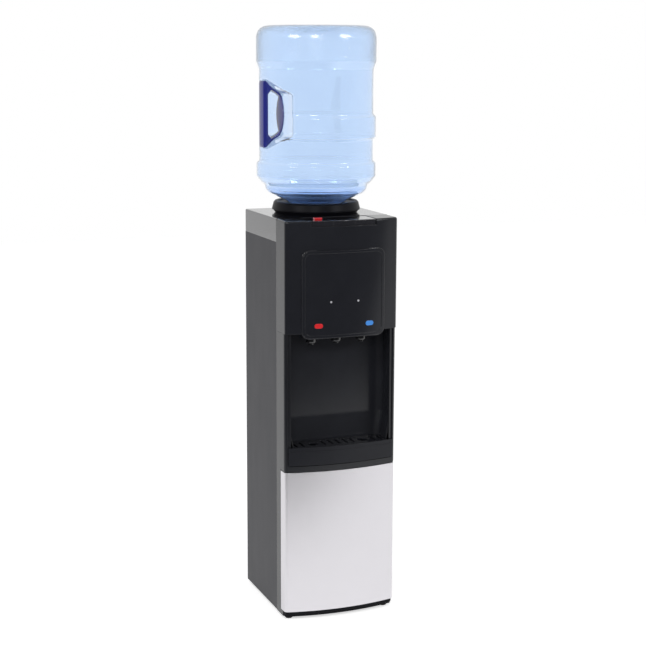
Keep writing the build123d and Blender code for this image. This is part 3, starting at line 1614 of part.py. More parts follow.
# Cord inlet: a flanged bush in the rear panel
cord_plane = Plane(origin=(cord_x, rear_y, cord_z), x_dir=(-1, 0, 0), z_dir=(0, 1, 0))
with BuildPart() as cord_inlet:
    with BuildSketch(cord_plane.offset(-cord_bush_depth)):
        Circle(cord_bush_radius)
    extrude(amount=cord_bush_depth + sheet)
    with BuildSketch(cord_plane.offset(sheet)):
        Circle(cord_bush_radius + cord_flange)
    extrude(amount=cord_flange_thickness)
    with BuildSketch(cord_plane.offset(sheet + cord_flange_thickness)):
        Circle(cord_bush_radius + cord_nose_wall)
    extrude(amount=cord_nose, taper=cord_nose_taper)
    with BuildSketch(cord_plane.offset(-cord_bush_depth)):
        Circle(cord_bore)
    extrude(amount=cord_bush_depth + sheet + cord_flange_thickness + cord_nose, mode=Mode.SUBTRACT)
finish(cord_inlet, "cord_inlet")

# Bottle: a blown shell, neck down, with three bands and a handle recess on its left side
bottle_top = bottle_base + bottle_height
neck_bottom = bottle_base - neck_length
handle_z = bottle_base + handle_middle
handle_outside = bottle_band - handle_inset
dome_radius = (bottle_push_up_radius**2 + bottle_push_up**2) / (2 * bottle_push_up)
dome_centre_z = bottle_top - bottle_push_up + dome_radius
dome_half = bottle_push_up_radius / 2


def bottle_outline():
    """Full outline of the bottle without its recess, both halves."""
    with BuildSketch() as outline:
        with BuildLine():
            Polyline(
                (0, neck_bottom),
                (neck_radius, neck_bottom),
                (neck_radius, bottle_base - neck_top),
                (neck_foot[0], bottle_base + neck_foot[1]),
                (shoulder_low[0], bottle_base + shoulder_low[1]),
                (shoulder_high[0], bottle_base + shoulder_high[1]),
                *[(bottle_band - inset, bottle_base + low_band[0] - drop) for inset, drop in flank],
                (bottle_band, bottle_base + low_band[0]),
                (bottle_band, bottle_base + low_band[1]),
                (bottle_body, bottle_base + low_band[1] + band_slope),
                (bottle_body, bottle_base + mid_band[0] - band_slope),
                (bottle_band, bottle_base + mid_band[0]),
                (bottle_band, bottle_base + mid_band[1]),
                (bottle_body, bottle_base + mid_band[1] + band_slope),
                (bottle_body, bottle_base + high_band[0] - high_flare),
                (bottle_band, bottle_base + high_band[0]),
                (bottle_band, bottle_top),
                (bottle_push_up_radius, bottle_top),
            )
            ThreePointArc(
                (bottle_push_up_radius, bottle_top),
                (dome_half, dome_centre_z - sqrt(dome_radius**2 - dome_half**2)),
                (0, bottle_top - bottle_push_up),
            )
            Line((0, bottle_top - bottle_push_up), (0, neck_bottom))
        make_face()
        base_corner = outline.vertices().sort_by_distance((bottle_band, bottle_top, 0))[0]
        fillet(base_corner, radius=bottle_base_round)
        mirror(about=Plane.YZ)
    return outline.sketch


def recess_block(grow):
    """Add the handle recess, cut straight through from front to rear, grown inwards by grow."""
    far_x = -bottle_band - recess_run_out
    far_rise = recess_half_outer + grow + recess_run_out_rise
    with BuildSketch(turned_plane(0, bottle_y)) as block:
        with BuildLine():
            Polyline(
                (far_x, handle_z + far_rise),
                (-bottle_band, handle_z + recess_half_outer + grow),
                (recess_step - bottle_band + grow, handle_z + recess_half_step + grow),
                (recess_depth_end - bottle_band + grow, handle_z + recess_half_middle + grow),
                (recess_depth_middle - bottle_band + grow, handle_z),
                (recess_depth_end - bottle_band + grow, handle_z - recess_half_middle - grow),
                (recess_step - bottle_band + grow, handle_z - recess_half_step - grow),
                (-bottle_band, handle_z - recess_half_outer - grow),
                (far_x, handle_z - far_rise),
                close=True,
            )
        make_face()
    extrude(block.sketch, amount=bottle_band + overcut, both=True)


with BuildPart() as recess_outer:
    recess_block(0)

with BuildPart() as recess_inner:
    recess_block(bottle_wall)

outline_full = bottle_outline()
with BuildPart() as bottle_space:
    with BuildSketch(turned_plane(0, bottle_y)):
        add(outline_full)
        offset(amount=-bottle_wall, kind=Kind.INTERSECTION)
        with Locations((0, (neck_bottom + bottle_top) / 2)):
            Rectangle(2 * bottle_band, 2 * bottle_top, align=(Align.MIN, Align.CENTER), mode=Mode.INTERSECT)
    revolve(axis=Axis((0, bottle_y, 0), (0, 0, 1)))
    add(recess_inner.part, mode=Mode.SUBTRACT)
    with BuildSketch(Plane.XY.offset(neck_bottom)):
        with Locations((0, bottle_y)):
            Circle(neck_radius - bottle_wall)
    extrude(amount=2 * bottle_wall)

with BuildPart() as bottle:
    with BuildSketch(turned_plane(0, bottle_y)):
        add(outline_full)
        with Locations((0, (neck_bottom + bottle_top) / 2)):
            Rectangle(2 * bottle_band, 2 * bottle_top, align=(Align.MIN, Align.CENTER), mode=Mode.INTERSECT)
    revolve(axis=Axis((0, bottle_y, 0), (0, 0, 1)))
    add(recess_outer.part, mode=Mode.SUBTRACT)
    add(bottle_space.part, mode=Mode.SUBTRACT)
finish(bottle, "bottle")

# Bottle handle: a bar across the recess with a strap along the recess's floor
gap_end_x = recess_depth_end - bottle_band - handle_strap
strap_end_x = recess_depth_end - bottle_band - 2 * fit
strap_middle_x = recess_depth_middle - bottle_band - 2 * fit
strap_half = recess_half_middle - 2 * fit
with BuildPart() as bottle_handle:
    with BuildSketch(turned_plane(0, bottle_y)):
        with BuildLine():
            Polyline(
                (-handle_outside, handle_z + recess_half_outer - handle_inset),
                (recess_step - bottle_band, handle_z + recess_half_step),
                (recess_depth_end - bottle_band, handle_z + recess_half_middle),
                (recess_depth_middle - bottle_band, handle_z),
                (recess_depth_end - bottle_band, handle_z - recess_half_middle),
                (recess_step - bottle_band, handle_z - recess_half_step),
                (-handle_outside, handle_z - recess_half_outer + handle_inset),
                close=True,
            )
        make_face()
        offset(amount=-2 * fit, kind=Kind.INTERSECTION)
        with BuildLine():
            Polyline(
                (handle_bar - handle_outside, handle_z + finger_gap_half),
                (recess_step + handle_strap - bottle_band, handle_z + finger_gap_half),
                (gap_end_x, handle_z + recess_half_middle - handle_strap),
                (gap_end_x, handle_z - recess_half_middle + handle_strap),
                (recess_step + handle_strap - bottle_band, handle_z - finger_gap_half),
                (handle_bar - handle_outside, handle_z - finger_gap_half),
                close=True,
            )
        make_face(mode=Mode.SUBTRACT)
    extrude(amount=handle_width / 2, both=True)
    with BuildSketch(turned_plane(0, bottle_y)):
        with BuildLine():
            Polyline(
                (strap_end_x, handle_z + strap_half),
                (strap_middle_x, handle_z),
                (strap_end_x, handle_z - strap_half),
                (strap_end_x - handle_strap, handle_z - strap_half),
                (strap_middle_x - handle_strap, handle_z),
                (strap_end_x - handle_strap, handle_z + strap_half),
                close=True,
            )
        make_face()
    extrude(amount=handle_strap_width / 2, both=True)
finish(bottle_handle, "bottle_handle")

# Bottle cap: a snap cap with the hole that the probe opens
with BuildPart() as bottle_cap:
    turned(
        0,
        bottle_y,
        (cap_hole, neck_bottom - fit - cap_wall),
        (neck_radius + fit + cap_wall, neck_bottom - fit - cap_wall),
        (neck_radius + fit + cap_wall, neck_bottom - fit - cap_wall + cap_height),
        (neck_radius + fit, neck_bottom - fit - cap_wall + cap_height),
        (neck_radius + fit, neck_bottom - fit),
        (cap_hole, neck_bottom - fit),
    )
finish(bottle_cap, "bottle_cap")
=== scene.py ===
"""Looks of the top-loading water cooler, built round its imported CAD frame.

Sizes are metres in the frame's own axes: X to the right of the front, Y to the rear, Z up.
"""

import json
import logging
import math
from dataclasses import dataclass, field
from enum import Enum

import bmesh
import bpy
from mathutils import Matrix, Vector

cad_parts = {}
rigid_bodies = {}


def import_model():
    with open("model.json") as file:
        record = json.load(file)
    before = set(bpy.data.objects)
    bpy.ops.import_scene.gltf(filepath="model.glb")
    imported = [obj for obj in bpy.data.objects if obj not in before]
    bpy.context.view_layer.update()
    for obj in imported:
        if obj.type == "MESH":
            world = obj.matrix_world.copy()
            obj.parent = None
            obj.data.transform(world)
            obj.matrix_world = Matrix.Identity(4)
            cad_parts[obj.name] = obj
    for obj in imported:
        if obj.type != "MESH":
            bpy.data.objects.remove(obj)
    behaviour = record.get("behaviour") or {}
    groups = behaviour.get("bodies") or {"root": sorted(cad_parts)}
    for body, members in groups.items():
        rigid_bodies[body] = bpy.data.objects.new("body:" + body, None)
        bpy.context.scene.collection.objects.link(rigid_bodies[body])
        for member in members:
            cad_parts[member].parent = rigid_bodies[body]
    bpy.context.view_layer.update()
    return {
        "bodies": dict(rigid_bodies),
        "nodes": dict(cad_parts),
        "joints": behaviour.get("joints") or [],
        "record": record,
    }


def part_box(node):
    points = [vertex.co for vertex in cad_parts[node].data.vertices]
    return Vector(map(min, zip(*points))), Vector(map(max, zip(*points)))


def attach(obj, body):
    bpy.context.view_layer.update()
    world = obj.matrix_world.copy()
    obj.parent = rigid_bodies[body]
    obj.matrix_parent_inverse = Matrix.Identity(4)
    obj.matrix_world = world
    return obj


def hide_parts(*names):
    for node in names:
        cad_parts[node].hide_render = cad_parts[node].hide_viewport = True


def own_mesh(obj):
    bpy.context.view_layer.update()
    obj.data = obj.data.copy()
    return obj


log = logging.getLogger("water_cooler")

Colour = tuple[float, float, float, float]
Point = tuple[float, float, float]
Pair = tuple[float, float]
Tree = bpy.types.NodeTree
Node = bpy.types.Node
Socket = bpy.types.NodeSocket
Piece = bpy.types.Object
Mesh = bmesh.types.BMesh
Edges = list[bmesh.types.BMEdge]

PHOTO_SIZE = 646
SENSOR = 36.0
WHITE = (1.0, 1.0, 1.0, 1.0)
MERGE_DISTANCE = 1e-5
CHORD_ANGLE = 9
LARGEST_CORNER = 0.49


def srgb(red: int, green: int, blue: int) -> Colour:
    """Linear colour of an 8-bit display colour.

    Args:
        red: Red from 0 to 255.
        green: Green from 0 to 255.
        blue: Blue from 0 to 255.

    Returns:
        The linear colour with an alpha of 1.
    """
    def linear(value: int) -> float:
        """Linear level of one channel."""
        share = value / 255
        return share / 12.92 if share <= 0.04045 else ((share + 0.055) / 1.055) ** 2.4

    return (linear(red), linear(green), linear(blue), 1.0)


def feed(tree: Tree, value: object, socket: Socket) -> None:
    """Link a socket to an input, or set a plain value on it.

    Args:
        tree: The nodes.
        value: A socket, number, colour or vector.
        socket: The input that takes it.
    """
    if isinstance(value, Socket):
        tree.links.new(value, socket)
    else:
        socket.default_value = value


def math_node(tree: Tree, operation: str, *values: object, clamp: bool = False) -> Socket:
    """Add a Math node.

    Args:
        tree: The nodes to add to.
        operation: Its operation.
        *values: Sockets or numbers, in order.
        clamp: Whether the result stays between 0 and 1.

    Returns:
        The result.
    """
    node = tree.nodes.new("ShaderNodeMath")
    node.operation = operation
    node.use_clamp = clamp
    for value, socket in zip(values, node.inputs):
        feed(tree, value, socket)
    return node.outputs[0]


def dot_product(tree: Tree, first: object, second: object) -> Socket:
    """Add the dot product of two vectors.

    Args:
        tree: The nodes to add to.
        first: A socket or a plain vector.
        second: A socket or a plain vector.

    Returns:
        The product.
    """
    node = tree.nodes.new("ShaderNodeVectorMath")
    node.operation = "DOT_PRODUCT"
    feed(tree, first, node.inputs[0])
    feed(tree, second, node.inputs[1])
    return node.outputs["Value"]


def mix_colours(tree: Tree, factor: Socket, first: object, second: object) -> Socket:
    """Add a mix of two colours.

    Args:
        tree: The nodes to add to.
        factor: Share of the second colour.
        first: A socket or a plain colour.
        second: A socket or a plain colour.

    Returns:
        The mixed colour.
    """
    mix = tree.nodes.new("ShaderNodeMix")
    mix.data_type = "RGBA"
    tree.links.new(factor, mix.inputs["Factor"])
    colours = [socket for socket in mix.inputs if socket.type == "RGBA"]
    feed(tree, first, colours[0])
    feed(tree, second, colours[1])
    return next(socket for socket in mix.outputs if socket.type == "RGBA")


class Step(Enum):
    """How a value changes between two limits."""

    STRAIGHT = "LINEAR"
    SMOOTH = "SMOOTHSTEP"


def ramp(tree: Tree, value: Socket, limits: Pair, kind: Step, ends: Pair = (0.0, 1.0)) -> Socket:
    """Add a step of a value.

    Args:
        tree: The nodes to add to.
        value: The value.
        limits: Where the step starts and where it ends.
        kind: How it changes between them.
        ends: What it gives at its start and at its end.

    Returns:
        The stepped value.
    """
    step = tree.nodes.new("ShaderNodeMapRange")
    step.interpolation_type = kind.value
    for label, number in zip(("From Min", "From Max", "To Min", "To Max"), (*limits, *ends)):
        step.inputs[label].default_value = number
    tree.links.new(value, step.inputs["Value"])
    return step.outputs["Result"]


class Coarseness(Enum):
    """How fine a moulded surface's grain is, in cells per metre."""

    FINE = 2600.0
    MEDIUM = 1400.0
    COARSE = 700.0


@dataclass
class EffectLibrary:
    """Shader groups that more than one finish uses, each made once. Scales are cells per metre."""

    edge_samples: int = 4
    edge_gain: float = 5.0
    grain_height: float = 0.0002
    line_height: float = 0.0001
    line_stretch: Point = (0.02, 0.02, 1.0)
    hand_scale: float = 9.0
    cloth_scale: float = 34.0
    cloth_stretch: Point = (1.0, 1.0, 0.25)
    tone_scale: float = 22.0
    tone_limits: Pair = (0.3, 0.7)
    wear_scale: float = 60.0
    wave_scale: float = 11.0
    wave_strength: float = 0.25
    wave_height: float = 0.002
    stipple_scale: float = 270.0
    stipple_height: float = 0.0012
    stipple_rise: float = 250.0
    crest_gain: float = 7.0
    crest_floor: float = -3.2
    neck_top: float = 1.004
    neck_rise: float = 30.0

    def __post_init__(self) -> None:
        """Make every group."""
        self.moulded = self._moulded()
        self.brushed = self._brushed()
        self.handling = self._handling()
        self.tone = self._tone()
        self.blown = self._blown()

    @staticmethod
    def _group(name: str, inputs: dict[str, float | Colour], outputs: dict[str, str]) -> Tree:
        """New group with its sockets.

        Args:
            name: The group's name.
            inputs: Input names with their defaults; a tuple makes a colour socket.
            outputs: Output names with Float, Vector or Color.

        Returns:
            The group, with its input and output nodes named Inlet and Outlet.
        """
        group = bpy.data.node_groups.new(name, "ShaderNodeTree")
        for label, default in inputs.items():
            kind = "NodeSocketColor" if isinstance(default, tuple) else "NodeSocketFloat"
            socket = group.interface.new_socket(name=label, in_out="INPUT", socket_type=kind)
            socket.default_value = default
        for label, kind in outputs.items():
            group.interface.new_socket(name=label, in_out="OUTPUT", socket_type=f"NodeSocket{kind}")
        group.nodes.new("NodeGroupInput").name = "Inlet"
        group.nodes.new("NodeGroupOutput").name = "Outlet"
        return group

    @staticmethod
    def _give(group: Tree, output: str, value: Socket) -> None:
        """Send a value to one of the group's outputs."""
        group.links.new(value, group.nodes["Outlet"].inputs[output])

    @staticmethod
    def _noise(group: Tree, scale: object, detail: float, stretch: Point = (1, 1, 1)) -> Socket:
        """Noise on Object coordinates.

        Args:
            group: The group to add to.
            scale: A number, or the socket that gives it.
            detail: Octaves of the noise.
            stretch: Scale of the coordinates along each axis.

        Returns:
            The noise's value.
        """
        coords = group.nodes.new("ShaderNodeTexCoord")
        mapping = group.nodes.new("ShaderNodeMapping")
        mapping.inputs["Scale"].default_value = stretch
        noise = group.nodes.new("ShaderNodeTexNoise")
        noise.inputs["Detail"].default_value = detail
        group.links.new(coords.outputs["Object"], mapping.inputs["Vector"])
        group.links.new(mapping.outputs["Vector"], noise.inputs["Vector"])
        feed(group, scale, noise.inputs["Scale"])
        return noise.outputs["Fac"]

    @staticmethod
    def _bump(
        group: Tree, height: Socket, strength: object, distance: float, normal: Socket | None = None
    ) -> Socket:
        """Bump from a height.

        Args:
            group: The group to add to.
            height: Socket that gives the height.
            strength: A number, or the socket that gives it.
            distance: Height in metres that the value 1 stands for.
            normal: Normal that the bump starts from, if it isn't the surface's own.

        Returns:
            The bump's normal.
        """
        bump = group.nodes.new("ShaderNodeBump")
        bump.inputs["Distance"].default_value = distance
        feed(group, strength, bump.inputs["Strength"])
        if normal is not None:
            group.links.new(normal, bump.inputs["Normal"])
        group.links.new(height, bump.inputs["Height"])
        return bump.outputs["Normal"]

    def _soft_edges(self, group: Tree) -> Socket:
        """Edges that catch light as rounded ones do, and a mask of them on the group's Edge output.

        Args:
            group: The group, with an input named Edge radius and an output named Edge.

        Returns:
            The softened normal.
        """
        bevel = group.nodes.new("ShaderNodeBevel")
        bevel.samples = self.edge_samples
        group.links.new(group.nodes["Inlet"].outputs["Edge radius"], bevel.inputs["Radius"])
        surface = group.nodes.new("ShaderNodeNewGeometry")
        facing = dot_product(group, bevel.outputs["Normal"], surface.outputs["Normal"])
        turned = math_node(group, "SUBTRACT", 1.0, facing)
        self._give(group, "Edge", math_node(group, "MULTIPLY", turned, self.edge_gain, clamp=True))
        return bevel.outputs["Normal"]

    def _moulded(self) -> Tree:
        """Moulded or painted surface: soft edges under a fine grain.

        Returns:
            Group with inputs Edge radius, Grain scale and Grain depth, and outputs Normal and Edge.
        """
        group = self._group(
            "Moulded surface",
            {"Edge radius": 0.0008, "Grain scale": Coarseness.MEDIUM.value, "Grain depth": 0.1},
            {"Normal": "Vector", "Edge": "Float"},
        )
        inlet = group.nodes["Inlet"].outputs
        soft = self._soft_edges(group)
        grain = self._noise(group, inlet["Grain scale"], detail=2.0)
        grained = self._bump(group, grain, inlet["Grain depth"], self.grain_height, soft)
        self._give(group, "Normal", grained)
        return group

    def _brushed(self) -> Tree:
        """Brushed sheet: soft edges under lines that run along its width.

        Returns:
            Group with inputs Edge radius, Line scale and Line depth, and outputs Normal and Edge.
        """
        group = self._group(
            "Brushed surface",
            {"Edge radius": 0.0008, "Line scale": 900.0, "Line depth": 0.3},
            {"Normal": "Vector", "Edge": "Float"},
        )
        inlet = group.nodes["Inlet"].outputs
        soft = self._soft_edges(group)
        lines = self._noise(group, inlet["Line scale"], detail=3.0, stretch=self.line_stretch)
        lined = self._bump(group, lines, inlet["Line depth"], self.line_height, soft)
        self._give(group, "Normal", lined)
        return group

    def _handling(self) -> Tree:
        """Roughness that drifts where hands and cloths have been.

        Returns:
            Group with inputs Base and Drift, and the output Roughness.
        """
        group = self._group("Handling marks", {"Base": 0.3, "Drift": 0.08}, {"Roughness": "Float"})
        inlet = group.nodes["Inlet"].outputs
        hands = self._noise(group, self.hand_scale, detail=3.0)
        cloths = self._noise(group, self.cloth_scale, detail=2.0, stretch=self.cloth_stretch)
        centred = math_node(group, "SUBTRACT", math_node(group, "ADD", hands, cloths), 1.0)
        drift = math_node(group, "MULTIPLY", centred, inlet["Drift"])
        self._give(group, "Roughness", math_node(group, "ADD", inlet["Base"], drift))
        return group

    def _tone(self) -> Tree:
        """Colour that drifts between two tones and pales where edges have worn.

        Returns:
            Group with inputs Dark, Light, Worn, Edge and Wear, and the output Color.
        """
        grey = (0.5, 0.5, 0.5, 1.0)
        inputs = {"Dark": grey, "Light": grey, "Worn": grey, "Edge": 0.0, "Wear": 0.2}
        group = self._group("Tone and wear", inputs, {"Color": "Color"})
        inlet = group.nodes["Inlet"].outputs
        drift = self._noise(group, self.tone_scale, detail=4.0)
        share = ramp(group, drift, self.tone_limits, Step.STRAIGHT)
        body = mix_colours(group, share, inlet["Dark"], inlet["Light"])
        patches = self._noise(group, self.wear_scale, detail=3.0)
        rubbed = math_node(group, "MULTIPLY", inlet["Edge"], patches)
        worn = math_node(group, "MULTIPLY", rubbed, inlet["Wear"])
        self._give(group, "Color", mix_colours(group, worn, body, inlet["Worn"]))
        return group

    def _blown(self) -> Tree:
        """Blown wall: slow waves all over, a fine stipple above a height, and a mask at the neck.

        Returns:
            Group with inputs Stipple from and Stipple depth, and outputs Normal, Stippled and Neck.
        """
        group = self._group(
            "Blown wall",
            {"Stipple from": 1.0, "Stipple depth": 0.3},
            {"Normal": "Vector", "Stippled": "Float", "Neck": "Float"},
        )
        inlet = group.nodes["Inlet"].outputs
        waves = self._noise(group, self.wave_scale, detail=1.0)
        slow = self._bump(group, waves, self.wave_strength, self.wave_height)
        place = group.nodes.new("ShaderNodeTexCoord")
        axes = group.nodes.new("ShaderNodeSeparateXYZ")
        group.links.new(place.outputs["Object"], axes.inputs["Vector"])
        over = math_node(group, "SUBTRACT", axes.outputs["Z"], inlet["Stipple from"])
        mask = math_node(group, "MULTIPLY", over, self.stipple_rise, clamp=True)
        grains = self._noise(group, self.stipple_scale, detail=1.0)
        dots = math_node(group, "MULTIPLY", grains, mask)
        stippled = self._bump(group, dots, inlet["Stipple depth"], self.stipple_height, slow)
        self._give(group, "Normal", stippled)
        gain, floor = self.crest_gain, self.crest_floor
        crests = math_node(group, "MULTIPLY_ADD", grains, gain, floor, clamp=True)
        self._give(group, "Stippled", math_node(group, "MULTIPLY", crests, mask))
        under = math_node(group, "SUBTRACT", self.neck_top, axes.outputs["Z"])
        self._give(group, "Neck", math_node(group, "MULTIPLY", under, self.neck_rise, clamp=True))
        return group


@dataclass(frozen=True)
class Finish:
    """One finish of the cooler, made as a node material."""

    name: str
    colour: Colour
    roughness: float
    drift: float = 0.05
    metallic: float = 0.0
    coat: float = 0.0
    coat_roughness: float = 0.06
    specular: float = 0.5
    grain: Coarseness = Coarseness.MEDIUM
    grain_depth: float = 0.1
    mottle: float = 0.06
    edge_radius: float = 0.0008
    worn: Colour = (0.3, 0.3, 0.3, 1.0)
    wear: float = 0.12

    def make(self, effects: EffectLibrary) -> bpy.types.Material:
        """Build the material.

        Args:
            effects: The shared shader groups.

        Returns:
            The material.
        """
        material = bpy.data.materials.new(self.name)
        material.use_nodes = True
        tree = material.node_tree
        shader = tree.nodes["Principled BSDF"]
        shader.inputs["Metallic"].default_value = self.metallic
        shader.inputs["Coat Weight"].default_value = self.coat
        shader.inputs["Coat Roughness"].default_value = self.coat_roughness
        shader.inputs["Specular IOR Level"].default_value = self.specular
        marks = self._place(tree, effects.handling, {"Base": self.roughness, "Drift": self.drift})
        tree.links.new(marks.outputs["Roughness"], shader.inputs["Roughness"])
        surface = self._surface(tree, shader, effects)
        tones = {"Dark": self._shaded(1 - self.mottle), "Light": self._shaded(1 + self.mottle)}
        tone = self._place(tree, effects.tone, {**tones, "Worn": self.worn, "Wear": self.wear})
        if "Edge" in surface.outputs:
            tree.links.new(surface.outputs["Edge"], tone.inputs["Edge"])
        colour = self._tinted(tree, surface, tone.outputs["Color"])
        tree.links.new(colour, shader.inputs["Base Color"])
        return material

    def _relief(self, effects: EffectLibrary) -> tuple[Tree, dict[str, float]]:
        """Group that gives the surface's normal, and its values: soft edges and grain.

        Args:
            effects: The shared shader groups.

        Returns:
            The group, and its input names with their values.
        """
        return effects.moulded, {
            "Edge radius": self.edge_radius,
            "Grain scale": self.grain.value,
            "Grain depth": self.grain_depth,
        }

    def _surface(self, tree: Tree, shader: Node, effects: EffectLibrary) -> Node:
        """Put the surface's relief in the normal.

        Args:
            tree: The material's nodes.
            shader: Its Principled BSDF.
            effects: The shared shader groups.

        Returns:
            The group's node.
        """
        node = self._place(tree, *self._relief(effects))
        tree.links.new(node.outputs["Normal"], shader.inputs["Normal"])
        return node

    def _tinted(self, tree: Tree, surface: Node, colour: Socket) -> Socket:
        """The colour as it is; a finish whose tint changes over the piece mixes its own."""
        return colour

    def _shaded(self, share: float) -> Colour:
        """The finish's colour, lighter or darker by a share, never over 1."""
        return (*[min(1.0, channel * share) for channel in self.colour[:3]], 1.0)

    @staticmethod
    def _place(tree: Tree, group: Tree, values: dict[str, float | Colour]) -> Node:
        """Put a shared group into the material with this finish's values.

        Args:
            tree: The material's nodes.
            group: The shared group.
            values: Input names with their values.

        Returns:
            The group's node.
        """
        node = tree.nodes.new("ShaderNodeGroup")
        node.node_tree = group
        for label, value in values.items():
            node.inputs[label].default_value = value
        return node


@dataclass(frozen=True)
class BrushedFinish(Finish):
    """Sheet metal with fine brushed lines along its width."""

    line_scale: float = 900.0
    line_depth: float = 0.25

    def _relief(self, effects: EffectLibrary) -> tuple[Tree, dict[str, float]]:
        """Soft edges and brushed lines.

        Args:
            effects: The shared shader groups.

        Returns:
            The group, and its input names with their values.
        """
        return effects.brushed, {
            "Edge radius": self.edge_radius,
            "Line scale": self.line_scale,
            "Line depth": self.line_depth,
        }


@dataclass(frozen=True)
class BlownFinish(Finish):
    """Blown clear plastic, tinted, slightly uneven, and stippled towards the bottle's bottom."""

    ior: float = 1.5
    stipple_from: float = 1.287
    stipple_depth: float = 0.45
    frosting: float = 0.14
    neck_colour: Colour = (0.42, 0.6, 0.96, 1.0)

    def _relief(self, effects: EffectLibrary) -> tuple[Tree, dict[str, float]]:
        """Slow waves and a stipple."""
        values = {"Stipple from": self.stipple_from, "Stipple depth": self.stipple_depth}
        return effects.blown, values

    def _surface(self, tree: Tree, shader: Node, effects: EffectLibrary) -> Node:
        """Clear wall with its relief in the normal, a little rougher on the stipple's crests.

        Args:
            tree: The material's nodes.
            shader: Its Principled BSDF.
            effects: The shared shader groups.

        Returns:
            The group's node.
        """
        shader.inputs["Transmission Weight"].default_value = 1.0
        shader.inputs["IOR"].default_value = self.ior
        node = super()._surface(tree, shader, effects)
        plain = shader.inputs["Roughness"].links[0].from_socket
        crests = node.outputs["Stippled"]
        frosted = math_node(tree, "MULTIPLY_ADD", crests, self.frosting, plain)
        tree.links.new(frosted, shader.inputs["Roughness"])
        return node

    def _tinted(self, tree: Tree, surface: Node, colour: Socket) -> Socket:
        """Deeper tint towards the neck, where the wall is thickest."""
        return mix_colours(tree, surface.outputs["Neck"], colour, self.neck_colour)


class Palette:
    """Every finish of the cooler, by the record's material slot or by a name of its own."""

    def __init__(self) -> None:
        """Build each finish's material."""
        effects = EffectLibrary()
        gloss = {"coat": 0.6, "grain_depth": 0.02}
        satin = {"specular": 0.35, "grain_depth": 0.04}
        metal = {"metallic": 1.0, "mottle": 0.03}
        fine = {"grain": Coarseness.FINE}
        clear = {"colour": srgb(223, 237, 255), "roughness": 0.05, "drift": 0.02, "mottle": 0.012}
        finishes = {
            "cover_black": Finish("Satin black moulding", srgb(30, 31, 35), 0.22, 0.03, **satin),
            "cover_gloss": Finish(
                "Glossy black cover", srgb(28, 28, 34), 0.18, 0.03, coat=0.7, edge_radius=0.0018
            ),
            "front_black": Finish(
                "Polished black moulding", srgb(31, 32, 37), 0.16, 0.03, **satin, edge_radius=0.0014
            ),
            "seat_black": Finish("Matt black ring", srgb(16, 16, 21), 0.42, 0.03, specular=0.1),
            "tray_black": Finish(
                "Satin black tray", srgb(30, 31, 36), 0.26, 0.03, specular=0.2, grain_depth=0.04
            ),
            "alcove_black": Finish(
                "Glossy black liner", srgb(34, 35, 40), 0.16, 0.02, **satin, edge_radius=0.01
            ),
            "side_black": Finish(
                "Black painted sheet", srgb(30, 30, 38), 0.46, specular=0.35, **fine, wear=0.2
            ),
            "stainless": BrushedFinish(
                "Brushed stainless sheet", srgb(212, 210, 214), 0.3, 0.0, metallic=1.0,
                mottle=0.006, wear=0.0, line_scale=2500.0, line_depth=1.4,
            ),
            "rear_black": Finish(
                "Black painted rear sheet", srgb(38, 38, 41), 0.5, **fine, wear=0.25
            ),
            "screw_steel": Finish("Plated screw", srgb(150, 150, 152), 0.3, **metal),
            "tap_black": Finish("Black tap moulding", srgb(28, 29, 32), 0.1, **gloss),
            "hot_red": Finish(
                "Red moulding", srgb(214, 38, 44), 0.2, **gloss, worn=srgb(240, 120, 120)
            ),
            "cold_blue": Finish(
                "Blue moulding", srgb(66, 142, 226), 0.2, **gloss, worn=srgb(150, 200, 250)
            ),
            "window_dark": Finish("Pale indicator window", srgb(188, 188, 194), 0.15, **gloss),
            "bottle_blue": BlownFinish("Clear blue bottle wall", **clear),
            "bottle_inside": BlownFinish(
                "Inside of the bottle wall", **clear, stipple_depth=0.0, frosting=0.0
            ),
            "handle_blue": Finish(
                "Dark blue handle", srgb(40, 46, 134), 0.2, grain_depth=0.04, edge_radius=0.0012
            ),
            "cap_white": Finish("White snap cap", srgb(228, 232, 238), 0.3),
            "tank_steel": BrushedFinish("Drawn tank steel", srgb(178, 178, 182), 0.35, **metal),
            "foam_white": Finish(
                "Expanded foam", srgb(232, 228, 215), 0.9, grain=Coarseness.COARSE, grain_depth=0.6
            ),
            "tube_clear": Finish("Milky silicone tube", srgb(214, 212, 204), 0.4),
            "line_copper": Finish(
                "Copper line", srgb(196, 116, 80), 0.28, **metal, worn=srgb(226, 160, 120)
            ),
            "compressor_black": Finish(
                "Enamelled compressor shell", srgb(22, 22, 24), 0.22, coat=0.2
            ),
            "rubber_black": Finish("Black rubber", srgb(30, 30, 31), 0.6, grain_depth=0.3),
            "galvanised": Finish(
                "Galvanised sheet", srgb(158, 162, 164), 0.42, 0.12, metallic=1.0, mottle=0.16
            ),
            "spring_steel": Finish("Spring wire", srgb(190, 190, 194), 0.2, **metal),
            "inner_plastic": Finish("Natural inner moulding", srgb(214, 212, 206), 0.4),
            "switch_red": Finish("Red rocker", srgb(196, 34, 30), 0.22, **gloss),
            "switch_green": Finish("Green rocker", srgb(40, 130, 60), 0.22, **gloss),
        }
        self.materials = {slot: finish.make(effects) for slot, finish in finishes.items()}

    def dress(self, piece: Piece, slot: str) -> None:
        """Give a piece one finish's material."""
        piece.data.materials.clear()
        piece.data.materials.append(self.materials[slot])


